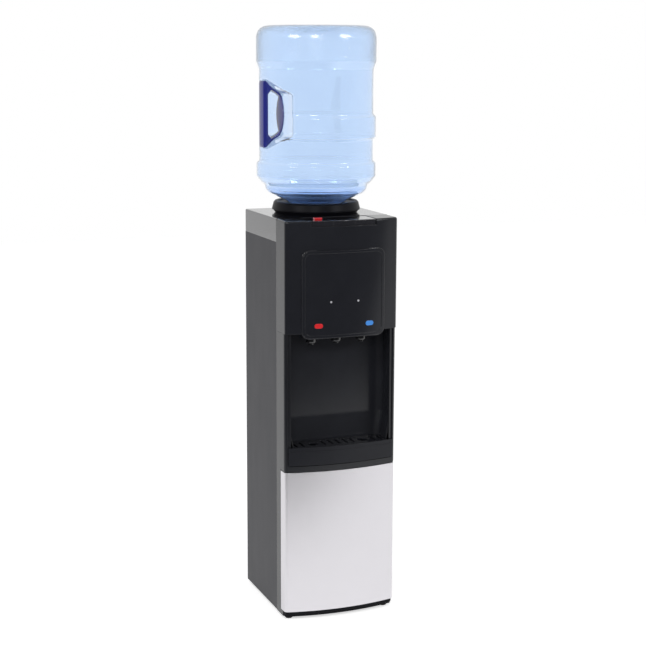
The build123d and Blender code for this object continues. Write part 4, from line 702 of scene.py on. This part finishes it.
def rounded(corners: list[Point], closed: bool = False) -> list[Pair]:
    """Points of an outline whose corners are rounded.

    Args:
        corners: Two coordinates and the corner radius of each corner.
        closed: Whether the last corner joins the first.

    Returns:
        The outline's points.
    """
    ring = [corners[-1], *corners, corners[0]] if closed else corners
    points = [] if closed else [corners[0][:2]]
    for before, here, after in zip(ring, ring[1:], ring[2:]):
        middle = Vector(here[:2])
        back = Vector(before[:2]) - middle
        ahead = Vector(after[:2]) - middle
        turn = math.pi - back.angle(ahead)
        largest = LARGEST_CORNER * min(back.length, ahead.length)
        reach = min(here[2] * math.tan(turn / 2), largest)
        start = middle + back.normalized() * reach
        end = middle + ahead.normalized() * reach
        steps = max(2, round(math.degrees(turn) / CHORD_ANGLE))
        for step in range(steps + 1):
            share = step / steps
            bend = middle * 2 * share * (1 - share)
            point = start * (1 - share) ** 2 + bend + end * share**2
            points.append((point.x, point.y))
    return points if closed else [*points, corners[-1][:2]]


def closed_loop(mesh: Mesh, points: list[Point]) -> Edges:
    """Draw a closed loop of edges.

    Args:
        mesh: The bmesh to draw in.
        points: The loop's points in order.

    Returns:
        The loop's edges.
    """
    verts = [mesh.verts.new(point) for point in points]
    return [mesh.edges.new(pair) for pair in zip(verts, [*verts[1:], verts[0]])]


def mesh_object(name: str, mesh: Mesh, smooth_angle: float) -> Piece:
    """Object from a bmesh, shaded smooth below an angle. The bmesh is freed.

    Args:
        name: The object's name.
        mesh: The finished bmesh.
        smooth_angle: Largest angle in degrees between faces that shade as one surface.

    Returns:
        The object, linked to the scene.
    """
    sharpest = math.radians(smooth_angle)
    for edge in mesh.edges:
        edge.smooth = len(edge.link_faces) == 2 and edge.calc_face_angle(0) < sharpest
    for face in mesh.faces:
        face.smooth = True
    data = bpy.data.meshes.new(name)
    mesh.to_mesh(data)
    mesh.free()
    piece = bpy.data.objects.new(name, data)
    bpy.context.scene.collection.objects.link(piece)
    return piece


@dataclass
class BottleWall:
    """Blown bottle, neck down: three bands, a pushed-up bottom and a handle recess on the left."""

    axis_y: float = 0.0223
    cover_top: float = 0.940
    height: float = 0.4315
    neck_radius: float = 0.0275
    band: float = 0.1395
    body: float = 0.133
    waist_fillet: float = 0.0045
    wall: float = 0.0018
    push_up_radius: float = 0.075
    push_up: float = 0.012
    dome_bend: Pair = (0.62, 0.72)
    base_round: float = 0.042
    spin_steps: int = 144
    ring_gap: float = 0.0045
    recess_middle: float = 0.230
    recess_soft: float = 0.010
    recess_flat: float = 0.06
    recess_lift: float = 2.0
    recess_from_axis: float = 0.02
    recess_least_radius: float = 0.05
    recess_depths: tuple[Pair, ...] = (
        (0.0, 0.0885), (0.046, 0.0885), (0.058, 0.1100), (0.088, 0.1400),
    )

    def build(self, palette: Palette) -> Piece:
        """Build the bottle's wall in place of the CAD solid.

        Args:
            palette: The finishes.

        Returns:
            The bottle's object.
        """
        mesh = bmesh.new()
        bmesh.ops.spin(
            mesh,
            geom=self._outline(mesh),
            cent=(0, self.axis_y, 0),
            axis=(0, 0, 1),
            angle=math.tau,
            steps=self.spin_steps,
            use_merge=True,
        )
        bmesh.ops.remove_doubles(mesh, verts=mesh.verts, dist=MERGE_DISTANCE)
        self._press_recess(mesh)
        bmesh.ops.recalc_face_normals(mesh, faces=mesh.faces)
        piece = mesh_object("bottle_wall", mesh, 180)
        thick = piece.modifiers.new("Wall", "SOLIDIFY")
        thick.thickness = self.wall
        thick.offset = -1
        thick.material_offset = 1
        palette.dress(piece, "bottle_blue")
        piece.data.materials.append(palette.materials["bottle_inside"])
        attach(piece, "bottle")
        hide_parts("bottle")
        return piece

    def _outline(self, mesh: Mesh) -> list[bmesh.types.BMVert | bmesh.types.BMEdge]:
        """Draw half the bottle's outline from the neck to the middle of its bottom.

        Args:
            mesh: The bmesh to draw in.

        Returns:
            The outline's vertices and edges.
        """
        points = rounded(self._corners())
        verts = [mesh.verts.new((radius, self.axis_y, z)) for radius, z in points]
        edges = [mesh.edges.new(pair) for pair in zip(verts, verts[1:])]
        for edge in [edge for edge in edges if edge.calc_length() > self.ring_gap]:
            cuts = int(edge.calc_length() / self.ring_gap)
            bmesh.ops.subdivide_edges(mesh, edges=[edge], cuts=cuts)
        return list(mesh.verts) + list(mesh.edges)

    def _corners(self) -> list[Point]:
        """Corners of the outline.

        Returns:
            Radius, height and corner radius of each.
        """
        top = self.cover_top + self.height
        band, body, fillet = self.band, self.body, self.waist_fillet
        sides = (
            (self.neck_radius, -0.055, 0.0), (self.neck_radius, -0.005, 0.004),
            (0.040, 0.005, 0.006), (0.072, 0.0285, 0.02), (0.113, 0.048, 0.02),
            (0.1185, 0.056, 0.004), (0.121, 0.066, 0.003), (0.131, 0.075, 0.006),
            (band, 0.086, 0.006), (band, 0.116, fillet), (body, 0.122, fillet),
            (body, 0.171, fillet), (band, 0.177, fillet), (band, 0.224, fillet),
            (body, 0.230, fillet), (body, 0.332, 0.006), (band, 0.351, 0.006),
        )
        bend_out, bend_down = self.dome_bend
        return [
            *[(radius, self.cover_top + height, corner) for radius, height, corner in sides],
            (band, top, self.base_round),
            (self.push_up_radius, top, 0.006),
            (self.push_up_radius * bend_out, top - self.push_up * bend_down, 0.012),
            (0.0, top - self.push_up, 0.0),
        ]

    def _recess_limit(self, height: float) -> float:
        """How far left the wall may reach at a height above the recess's middle.

        Args:
            height: Height from the middle of the recess.

        Returns:
            The distance from the axis plane in metres, endless past the recess.
        """
        rise = abs(height)
        for (low, near), (high, far) in zip(self.recess_depths, self.recess_depths[1:]):
            if rise <= high:
                return near + (far - near) * (rise - low) / (high - low)
        return math.inf

    def _press_recess(self, mesh: Mesh) -> None:
        """Move the wall inwards where the handle recess crosses it, with soft edges.

        Args:
            mesh: The spun wall.
        """
        middle_z = self.cover_top + self.recess_middle
        for vert in mesh.verts:
            x, y = vert.co.x, vert.co.y - self.axis_y
            radius = math.hypot(x, y)
            if x > -self.recess_from_axis or radius < self.recess_least_radius:
                continue
            lift = self.recess_lift * max(0.0, abs(y) - self.recess_flat) ** 2
            limit = (self._recess_limit(vert.co.z - middle_z) + lift) * radius / -x
            gap = (limit - radius) / self.recess_soft
            if gap > 1:
                continue
            blend = max(0.0, min(1.0, (1 - gap) / 2))
            soft = self.recess_soft * blend * (1 - blend) / 2
            pressed = radius + (limit - radius) * blend - soft
            vert.co.x *= pressed / radius
            vert.co.y = self.axis_y + y * pressed / radius


@dataclass
class BottleHandle:
    """Blue handle in the bottle's recess: a grip with two legs, and a leaf on its floor."""

    axis_y: float = 0.0223
    middle_z: float = 1.170
    grip_half: float = 0.016
    root_half: float = 0.0085
    grip_x: float = -0.118
    root_x: float = -0.090
    edge_round: float = 0.0017
    leaf_back: float = -0.0884
    leaf_wall: float = 0.0028
    leaf_crown: float = 0.45
    leaf_half_length: float = 0.0415
    leaf_tip: float = 0.0085
    leaf_swell: float = 0.0165
    leaf_columns: int = 8
    leaf_rows: int = 28
    outer: tuple[Point, ...] = (
        (-0.1352, 0.0822, 0.006), (-0.1135, 0.0612, 0.010),
        (-0.0915, 0.0485, 0.006), (-0.0888, 0.0420, 0.006),
    )
    inner: tuple[Point, ...] = (
        (-0.1234, 0.0455, 0.003), (-0.1150, 0.0560, 0.004),
        (-0.0985, 0.0465, 0.005), (-0.0905, 0.0390, 0.006),
    )

    def build(self, palette: Palette) -> Piece:
        """Build the handle in place of the CAD solid.

        Args:
            palette: The finishes.

        Returns:
            The handle's object.
        """
        mesh = bmesh.new()
        self._loop(mesh)
        self._leaf(mesh)
        bmesh.ops.recalc_face_normals(mesh, faces=mesh.faces)
        piece = mesh_object("handle_grip", mesh, 40)
        palette.dress(piece, "handle_blue")
        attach(piece, "bottle")
        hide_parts("bottle_handle")
        return piece

    def _ring(self, mesh: Mesh, corners: tuple[Point, ...]) -> Edges:
        """Draw one closed ring of the loop at Y -1, mirrored below its middle.

        Args:
            mesh: The bmesh to draw in.
            corners: The ring's corners above its middle, from the grip to the leaf.

        Returns:
            The ring's edges.
        """
        below = [(x, -z, radius) for x, z, radius in reversed(corners)]
        points = rounded([*corners, *below], closed=True)
        return closed_loop(mesh, [(x, -1.0, self.middle_z + z) for x, z in points])

    def _half_width(self, x: float) -> float:
        """Half the loop's width at a place along X: wide at the grip, narrow at the leaf."""
        share = max(0.0, min(1.0, (x - self.grip_x) / (self.root_x - self.grip_x)))
        return self.grip_half + (self.root_half - self.grip_half) * share

    def _loop(self, mesh: Mesh) -> None:
        """Add the grip and its two legs, from Y -1 to 1 times their half width, edges rounded.

        Args:
            mesh: The bmesh to add to.
        """
        rings = [*self._ring(mesh, self.outer), *self._ring(mesh, self.inner)]
        bmesh.ops.triangle_fill(mesh, edges=rings, use_beauty=True)
        grown = bmesh.ops.extrude_face_region(mesh, geom=list(mesh.faces))
        raised = [item for item in grown["geom"] if isinstance(item, bmesh.types.BMVert)]
        bmesh.ops.translate(mesh, verts=raised, vec=(0, 2.0, 0))
        for vert in mesh.verts:
            vert.co.y = self.axis_y + vert.co.y * self._half_width(vert.co.x)
        inner_edges = [edge for edge in mesh.edges if len(edge.link_faces) == 2]
        rims = [edge for edge in inner_edges if edge.calc_face_angle(0) > 1.0]
        bmesh.ops.bevel(
            mesh, geom=rims, offset=self.edge_round, segments=3, profile=0.5,
            affect="EDGES", material=-1,
        )

    def _leaf(self, mesh: Mesh) -> None:
        """Add the leaf: a crowned plate along the recess's floor that is widest at its middle.

        Args:
            mesh: The bmesh to add to.
        """
        columns, rows = self.leaf_columns, self.leaf_rows
        grown = bmesh.ops.create_grid(mesh, x_segments=columns, y_segments=rows, size=1.0)
        grid = grown["verts"]
        rim_x = self.leaf_back - self.leaf_wall * (1 - self.leaf_crown)
        for vert in grid:
            along, across = vert.co.y, vert.co.x
            half = self.leaf_tip + self.leaf_swell * (1 - along**2)
            crown = self.leaf_wall * self.leaf_crown * (1 - across**2)
            place_z = self.middle_z + along * self.leaf_half_length
            vert.co = (rim_x - crown, self.axis_y + across * half, place_z)
        faces = list({face for vert in grid for face in vert.link_faces})
        back = bmesh.ops.extrude_face_region(mesh, geom=faces)
        for item in back["geom"]:
            if isinstance(item, bmesh.types.BMVert):
                item.co.x = self.leaf_back


@dataclass
class BezelBead:
    """Rounded edge round the bezel plate, bent to the bowed front."""

    width: float = 0.199
    height: float = 0.199
    low_z: float = 0.673
    corner: float = 0.020
    spread: float = 0.0026
    panel_proud: float = 0.0050
    plate: float = 0.0024
    overlap: float = 0.0004
    rows: int = 6
    bow_radius: float = 0.53036
    bow_middle_y: float = 0.37066

    def build(self, palette: Palette) -> Piece:
        """Build the bead against the plate's edge.

        Args:
            palette: The finishes.

        Returns:
            The bead's object.
        """
        mesh = bmesh.new()
        turns = [math.pi / 2 * row / self.rows for row in range(self.rows + 1)]
        profile = [(self.spread * math.cos(turn), self.plate * math.sin(turn)) for turn in turns]
        loops = [self._loop(mesh, out, proud) for out, proud in [*profile, (-self.overlap, 0.0)]]
        for loop, following in zip(loops, [*loops[1:], loops[0]]):
            bmesh.ops.bridge_loops(mesh, edges=[*loop, *following])
        bmesh.ops.recalc_face_normals(mesh, faces=mesh.faces)
        piece = mesh_object("bezel_bead", mesh, 50)
        palette.dress(piece, "front_black")
        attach(piece, "cabinet")
        return piece

    def _loop(self, mesh: Mesh, out: float, proud: float) -> Edges:
        """Draw one loop round the plate.

        Args:
            mesh: The bmesh to draw in.
            out: How far outside the plate's edge it runs.
            proud: How far it stands in front of the upper panel.

        Returns:
            The loop's edges.
        """
        side = self.width / 2 + out
        low, high = self.low_z - out, self.low_z + self.height + out
        places = ((-side, low), (side, low), (side, high), (-side, high))
        points = rounded([(*place, self.corner + out) for place in places], closed=True)
        reach = self.bow_radius + self.panel_proud + proud
        bowed = [(x, self.bow_middle_y - math.sqrt(reach**2 - x**2), z) for x, z in points]
        return closed_loop(mesh, bowed)


@dataclass(frozen=True)
class ReturnSpring:
    """Wound return spring of one tap, closed at both ends."""

    tap: str
    wire: float = 0.0012
    open_turns: int = 4
    closed_pitch: float = 1.05
    turn_steps: int = 28
    sides: int = 10
    travel: float = 0.008

    def build(self, palette: Palette) -> Piece:
        """Build the spring in place of the CAD solid, between the tap and the rod's collar.

        Args:
            palette: The finishes.

        Returns:
            The spring's object.
        """
        node = f"valve_spring_{self.tap}"
        low, high = (Vector(corner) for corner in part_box(node))
        tall = high.z - low.z
        closed = self.wire * self.closed_pitch
        rise = (tall - self.wire - 2 * closed) / self.open_turns
        foot = Vector(((low.x + high.x) / 2, (low.y + high.y) / 2, low.z))
        mesh = bmesh.new()
        last = self._section(mesh, foot, (high.x - low.x - self.wire) / 2)
        for turns, pitch in ((1, closed), (self.open_turns, rise), (1, closed)):
            last = bmesh.ops.spin(
                mesh,
                geom=last,
                cent=foot,
                axis=(0, 0, 1),
                dvec=(0, 0, pitch / self.turn_steps),
                angle=math.tau * turns,
                steps=self.turn_steps * turns,
            )["geom_last"]
        bmesh.ops.recalc_face_normals(mesh, faces=mesh.faces)
        piece = mesh_object(f"return_spring_{self.tap}", mesh, 60)
        palette.dress(piece, "spring_steel")
        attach(piece, "cabinet")
        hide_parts(node)
        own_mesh(piece)
        return piece

    def _section(self, mesh: Mesh, foot: Vector, radius: float) -> list[bmesh.types.BMFace]:
        """Draw the wire's round section where the spring starts.

        Args:
            mesh: The bmesh to draw in.
            foot: Middle of the spring's lower end.
            radius: Radius of the wire's middle line.

        Returns:
            The section's face.
        """
        half = self.wire / 2
        upright = Matrix.Rotation(math.pi / 2, 4, "X")
        place = Matrix.Translation(foot + Vector((radius, 0, half))) @ upright
        bmesh.ops.create_circle(mesh, cap_ends=True, segments=self.sides, radius=half, matrix=place)
        return list(mesh.faces)


@dataclass(frozen=True)
class Softbox:
    """Rectangular lamp in front of the cooler. Its turn is degrees to the right."""

    name: str
    turn: float
    width: float
    level: float
    distance: float = 3.2
    middle_height: float = 2.08
    tall: float = 0.6
    aim_height: float = 1.3

    def build(self) -> None:
        """Hang the lamp, facing the cooler."""
        data = bpy.data.lights.new(self.name, "AREA")
        data.shape = "RECTANGLE"
        data.size, data.size_y = self.width, self.tall
        data.energy = self.level * math.pi * self.width * self.tall
        angle = math.radians(self.turn)
        out, front = self.distance * math.sin(angle), -self.distance * math.cos(angle)
        place = Vector((out, front, self.middle_height))
        facing = (Vector((0, 0, self.aim_height)) - place).to_track_quat("-Z", "Y")
        lamp = bpy.data.objects.new(self.name, data)
        lamp.matrix_world = Matrix.Translation(place) @ facing.to_matrix().to_4x4()
        bpy.context.scene.collection.objects.link(lamp)


@dataclass
class Studio:
    """Camera, lamps, world and floor. Yaw, pitch and roll are radians."""

    eye: Point = (-1.24341, -3.28178, 1.31731)
    yaw: float = 0.36487
    pitch: float = 0.18054
    roll: float = 0.00304
    focal_pixels: float = 1499.38
    far_clip: float = 60.0
    world_level: float = 0.42
    dim_towards: Point = (-0.337, -0.925, -0.174)
    dim_limits: Pair = (-0.2, 0.75)
    dim_levels: Pair = (0.88, 0.1)
    floor_reach: float = 7.0
    floor_cells: int = 8
    floor_colour: float = 0.9
    floor_roughness: float = 0.8
    floor_specular: float = 0.1
    floor_glow: float = 0.62
    floor_towards: Point = (-0.574, -0.819, 0.0)
    floor_limits: Pair = (0.9, 1.5)
    floor_gloss: Pair = (0.95, 0.04)
    softboxes: tuple[Softbox, ...] = (
        Softbox("side_softbox", -64.0, 1.0, 13.5),
        Softbox("front_softbox", -23.0, 0.9, 13.5),
        Softbox("right_softbox", 36.0, 1.0, 13.5),
    )

    def build(self) -> None:
        """Set up the whole studio."""
        self._camera()
        self._world()
        self._floor()
        for softbox in self.softboxes:
            softbox.build()

    def _camera(self) -> None:
        """Camera at the photograph's place and angle."""
        flat = math.cos(self.pitch)
        ahead = (math.sin(self.yaw) * flat, math.cos(self.yaw) * flat, -math.sin(self.pitch))
        forward = Vector(ahead)
        level = Vector((math.cos(self.yaw), -math.sin(self.yaw), 0))
        upward = level.cross(forward)
        right = level * math.cos(self.roll) + upward * math.sin(self.roll)
        top = upward * math.cos(self.roll) - level * math.sin(self.roll)
        data = bpy.data.cameras.new("Camera")
        data.sensor_width = SENSOR
        data.sensor_fit = "HORIZONTAL"
        data.lens = SENSOR * self.focal_pixels / PHOTO_SIZE
        data.clip_end = self.far_clip
        camera = bpy.data.objects.new("Camera", data)
        rotation = Matrix((right, top, -forward)).transposed().to_4x4()
        camera.matrix_world = Matrix.Translation(self.eye) @ rotation
        bpy.context.scene.collection.objects.link(camera)
        bpy.context.scene.camera = camera

    @staticmethod
    def _seen(tree: Tree) -> Socket:
        """One where the camera sees it, straight, through a clear wall or mirrored inside one.

        Args:
            tree: The nodes to add to.

        Returns:
            The mask, zero for all other rays.
        """
        path = tree.nodes.new("ShaderNodeLightPath").outputs
        straight = math_node(tree, "MAXIMUM", path["Is Camera Ray"], path["Is Transmission Ray"])
        depth, glossy = path["Transmission Depth"], path["Is Glossy Ray"]
        inside = math_node(tree, "MULTIPLY", depth, glossy, clamp=True)
        return math_node(tree, "MAXIMUM", straight, inside)

    @staticmethod
    def _background(tree: Tree, strength: object) -> Socket:
        """White background of a strength.

        Args:
            tree: The world's nodes.
            strength: A number, or the socket that gives it.

        Returns:
            The background's shader socket.
        """
        back = tree.nodes.new("ShaderNodeBackground")
        back.inputs["Color"].default_value = WHITE
        feed(tree, strength, back.inputs["Strength"])
        return back.outputs[0]

    @staticmethod
    def _mixed(tree: Tree, factor: Socket, first: Socket, second: Socket) -> Socket:
        """Mix of two shaders.

        Args:
            tree: The nodes to add to.
            factor: Share of the second shader.
            first: The first shader.
            second: The second shader.

        Returns:
            The mixed shader.
        """
        mixed = tree.nodes.new("ShaderNodeMixShader")
        for value, socket in zip((factor, first, second), mixed.inputs):
            tree.links.new(value, socket)
        return mixed.outputs[0]

    def _world(self) -> None:
        """World that lights palely, is dim in gloss towards the front, and is white where seen."""
        world = bpy.data.worlds.new("Studio")
        bpy.context.scene.world = world
        world.use_nodes = True
        tree = world.node_tree
        tree.nodes.clear()
        coords = tree.nodes.new("ShaderNodeTexCoord")
        towards = dot_product(tree, coords.outputs["Generated"], self.dim_towards)
        gloss = ramp(tree, towards, self.dim_limits, Step.SMOOTH, self.dim_levels)
        path = tree.nodes.new("ShaderNodeLightPath")
        lit = self._background(tree, self.world_level)
        mirrored = self._background(tree, gloss)
        unseen = self._mixed(tree, path.outputs["Is Glossy Ray"], lit, mirrored)
        shown = self._mixed(tree, self._seen(tree), unseen, self._background(tree, 1.0))
        out = tree.nodes.new("ShaderNodeOutputWorld")
        tree.links.new(shown, out.inputs["Surface"])

    def _floor(self) -> None:
        """Pale floor that keeps a faint shadow, and whose far front is dim in gloss."""
        mesh = bmesh.new()
        cells = self.floor_cells
        bmesh.ops.create_grid(mesh, x_segments=cells, y_segments=cells, size=self.floor_reach)
        floor = mesh_object("studio_floor", mesh, 30)
        material = bpy.data.materials.new("Pale floor")
        material.use_nodes = True
        tree = material.node_tree
        shader = tree.nodes["Principled BSDF"]
        shader.inputs["Roughness"].default_value = self.floor_roughness
        shader.inputs["Specular IOR Level"].default_value = self.floor_specular
        shader.inputs["Emission Color"].default_value = WHITE
        coords = tree.nodes.new("ShaderNodeTexCoord")
        reach = dot_product(tree, coords.outputs["Object"], self.floor_towards)
        near = ramp(tree, reach, self.floor_limits, Step.SMOOTH, self.floor_gloss)
        glossy = tree.nodes.new("ShaderNodeLightPath").outputs["Is Glossy Ray"]
        sheet = tree.nodes.new("ShaderNodeMix")
        sheet.inputs["A"].default_value = 1.0
        tree.links.new(glossy, sheet.inputs["Factor"])
        tree.links.new(near, sheet.inputs["B"])
        colour = math_node(tree, "MULTIPLY", sheet.outputs["Result"], self.floor_colour)
        tree.links.new(colour, shader.inputs["Base Color"])
        mirrored = math_node(tree, "MULTIPLY", glossy, near)
        shown = math_node(tree, "MAXIMUM", self._seen(tree), mirrored)
        glow = math_node(tree, "MULTIPLY", shown, self.floor_glow)
        tree.links.new(glow, shader.inputs["Emission Strength"])
        floor.data.materials.append(material)


@dataclass
class SubAssembly:
    """Group of the cooler's pieces: CAD nodes that keep their shape, and new pieces."""

    title: str = "group"
    nodes: tuple[str, ...] = ()
    own_finish: dict[str, str] = field(default_factory=dict)

    def build(self, frame: dict, palette: Palette) -> None:
        """Dress the group's CAD nodes by their slots, then add its new pieces.

        Args:
            palette: The finishes.
        """
        slots = {part["node"]: part["material_slot"] for part in frame["record"]["subparts"]}
        for node in self.nodes:
            finish = self.own_finish.get(node, slots[node])
            palette.dress(frame["nodes"][node], finish)
            log.info("%s: dressed %s as %s", self.title, node, finish)
        for piece in self.pieces(palette):
            vertices = len(piece.data.vertices)
            log.info("%s: built %s with %d vertices", self.title, piece.name, vertices)

    def pieces(self, palette: Palette) -> list[Piece]:
        """New pieces of the group; none unless a group has its own."""
        return []


@dataclass
class Cabinet(SubAssembly):
    """Cover, front, sides, back, plinth and feet."""

    title: str = "cabinet"
    nodes: tuple[str, ...] = (
        "top_cover", "upper_front_panel", "bezel_plate", "hot_lens", "cold_lens",
        "indicator_windows", "front_frame", "lower_front_panel", "base_plinth", "feet",
        "side_panel_left", "side_panel_right", "rear_panel", "rear_screws",
    )
    own_finish: dict[str, str] = field(
        default_factory=lambda: {"top_cover": "cover_gloss", "base_plinth": "seat_black"}
    )
    bead: BezelBead = field(default_factory=BezelBead)

    def pieces(self, palette: Palette) -> list[Piece]:
        """The bead on the bezel plate's rim."""
        return [self.bead.build(palette)]


@dataclass
class Dispensing(SubAssembly):
    """Keys, push rods, springs, taps, alcove, tray and grille."""

    title: str = "dispensing"
    nodes: tuple[str, ...] = (
        "hot_key", "room_key", "cold_key", "child_lock", "key_carrier", "push_rod_hot",
        "push_rod_room", "push_rod_cold", "valve_spring_hot", "valve_spring_room",
        "valve_spring_cold", "hot_tap", "room_tap", "cold_tap", "alcove_liner", "drip_tray",
        "drip_grille",
    )
    own_finish: dict[str, str] = field(
        default_factory=lambda: {
            "hot_key": "cover_gloss", "room_key": "cover_gloss", "cold_key": "cover_gloss",
            "drip_tray": "tray_black",
        }
    )
    springs: tuple[ReturnSpring, ...] = (
        ReturnSpring("hot"), ReturnSpring("room"), ReturnSpring("cold"),
    )

    def pieces(self, palette: Palette) -> list[Piece]:
        """The taps' return springs."""
        return [spring.build(palette) for spring in self.springs]


@dataclass
class WaterSystem(SubAssembly):
    """Bottle seat, probe, tanks, their shelf, tubes and drain."""

    title: str = "water system"
    nodes: tuple[str, ...] = (
        "bottle_collar", "feed_probe", "tank_seal", "cold_tank", "hot_tank",
        "cold_tank_insulation", "tank_shelf", "heater_thermostats", "hot_tube", "cold_tube",
        "room_tube", "fill_tube", "drain_fitting", "drain_cap",
    )
    own_finish: dict[str, str] = field(default_factory=lambda: {"bottle_collar": "seat_black"})


@dataclass
class CoolingSystem(SubAssembly):
    """Evaporator, compressor, condenser, drier and lines."""

    title: str = "cooling system"
    nodes: tuple[str, ...] = (
        "evaporator_coil", "compressor", "compressor_mounts", "condenser_coil",
        "condenser_wires", "filter_drier", "discharge_line", "suction_line",
    )


@dataclass
class Electrics(SubAssembly):
    """Switch plate, its rockers and the mains inlet."""

    title: str = "electrics"
    nodes: tuple[str, ...] = ("switch_plate", "hot_switch", "cold_switch", "cord_inlet")


@dataclass
class BottleSet(SubAssembly):
    """Bottle, its cap and its handle."""

    title: str = "bottle"
    nodes: tuple[str, ...] = ("bottle", "bottle_handle", "bottle_cap")
    wall: BottleWall = field(default_factory=BottleWall)
    handle: BottleHandle = field(default_factory=BottleHandle)

    def pieces(self, palette: Palette) -> list[Piece]:
        """The bottle's blown wall and its moulded handle."""
        return [self.wall.build(palette), self.handle.build(palette)]


def main() -> None:
    """Build the studio and the cooler."""
    logging.basicConfig(level=logging.INFO, format="%(message)s")
    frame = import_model()
    bpy.context.scene.view_settings.view_transform = "Standard"
    Studio().build()
    palette = Palette()
    groups = (Cabinet(), Dispensing(), WaterSystem(), CoolingSystem(), Electrics(), BottleSet())
    for group in groups:
        group.build(frame, palette)
    bpy.context.view_layer.update()


if __name__ == "__main__":
    main()
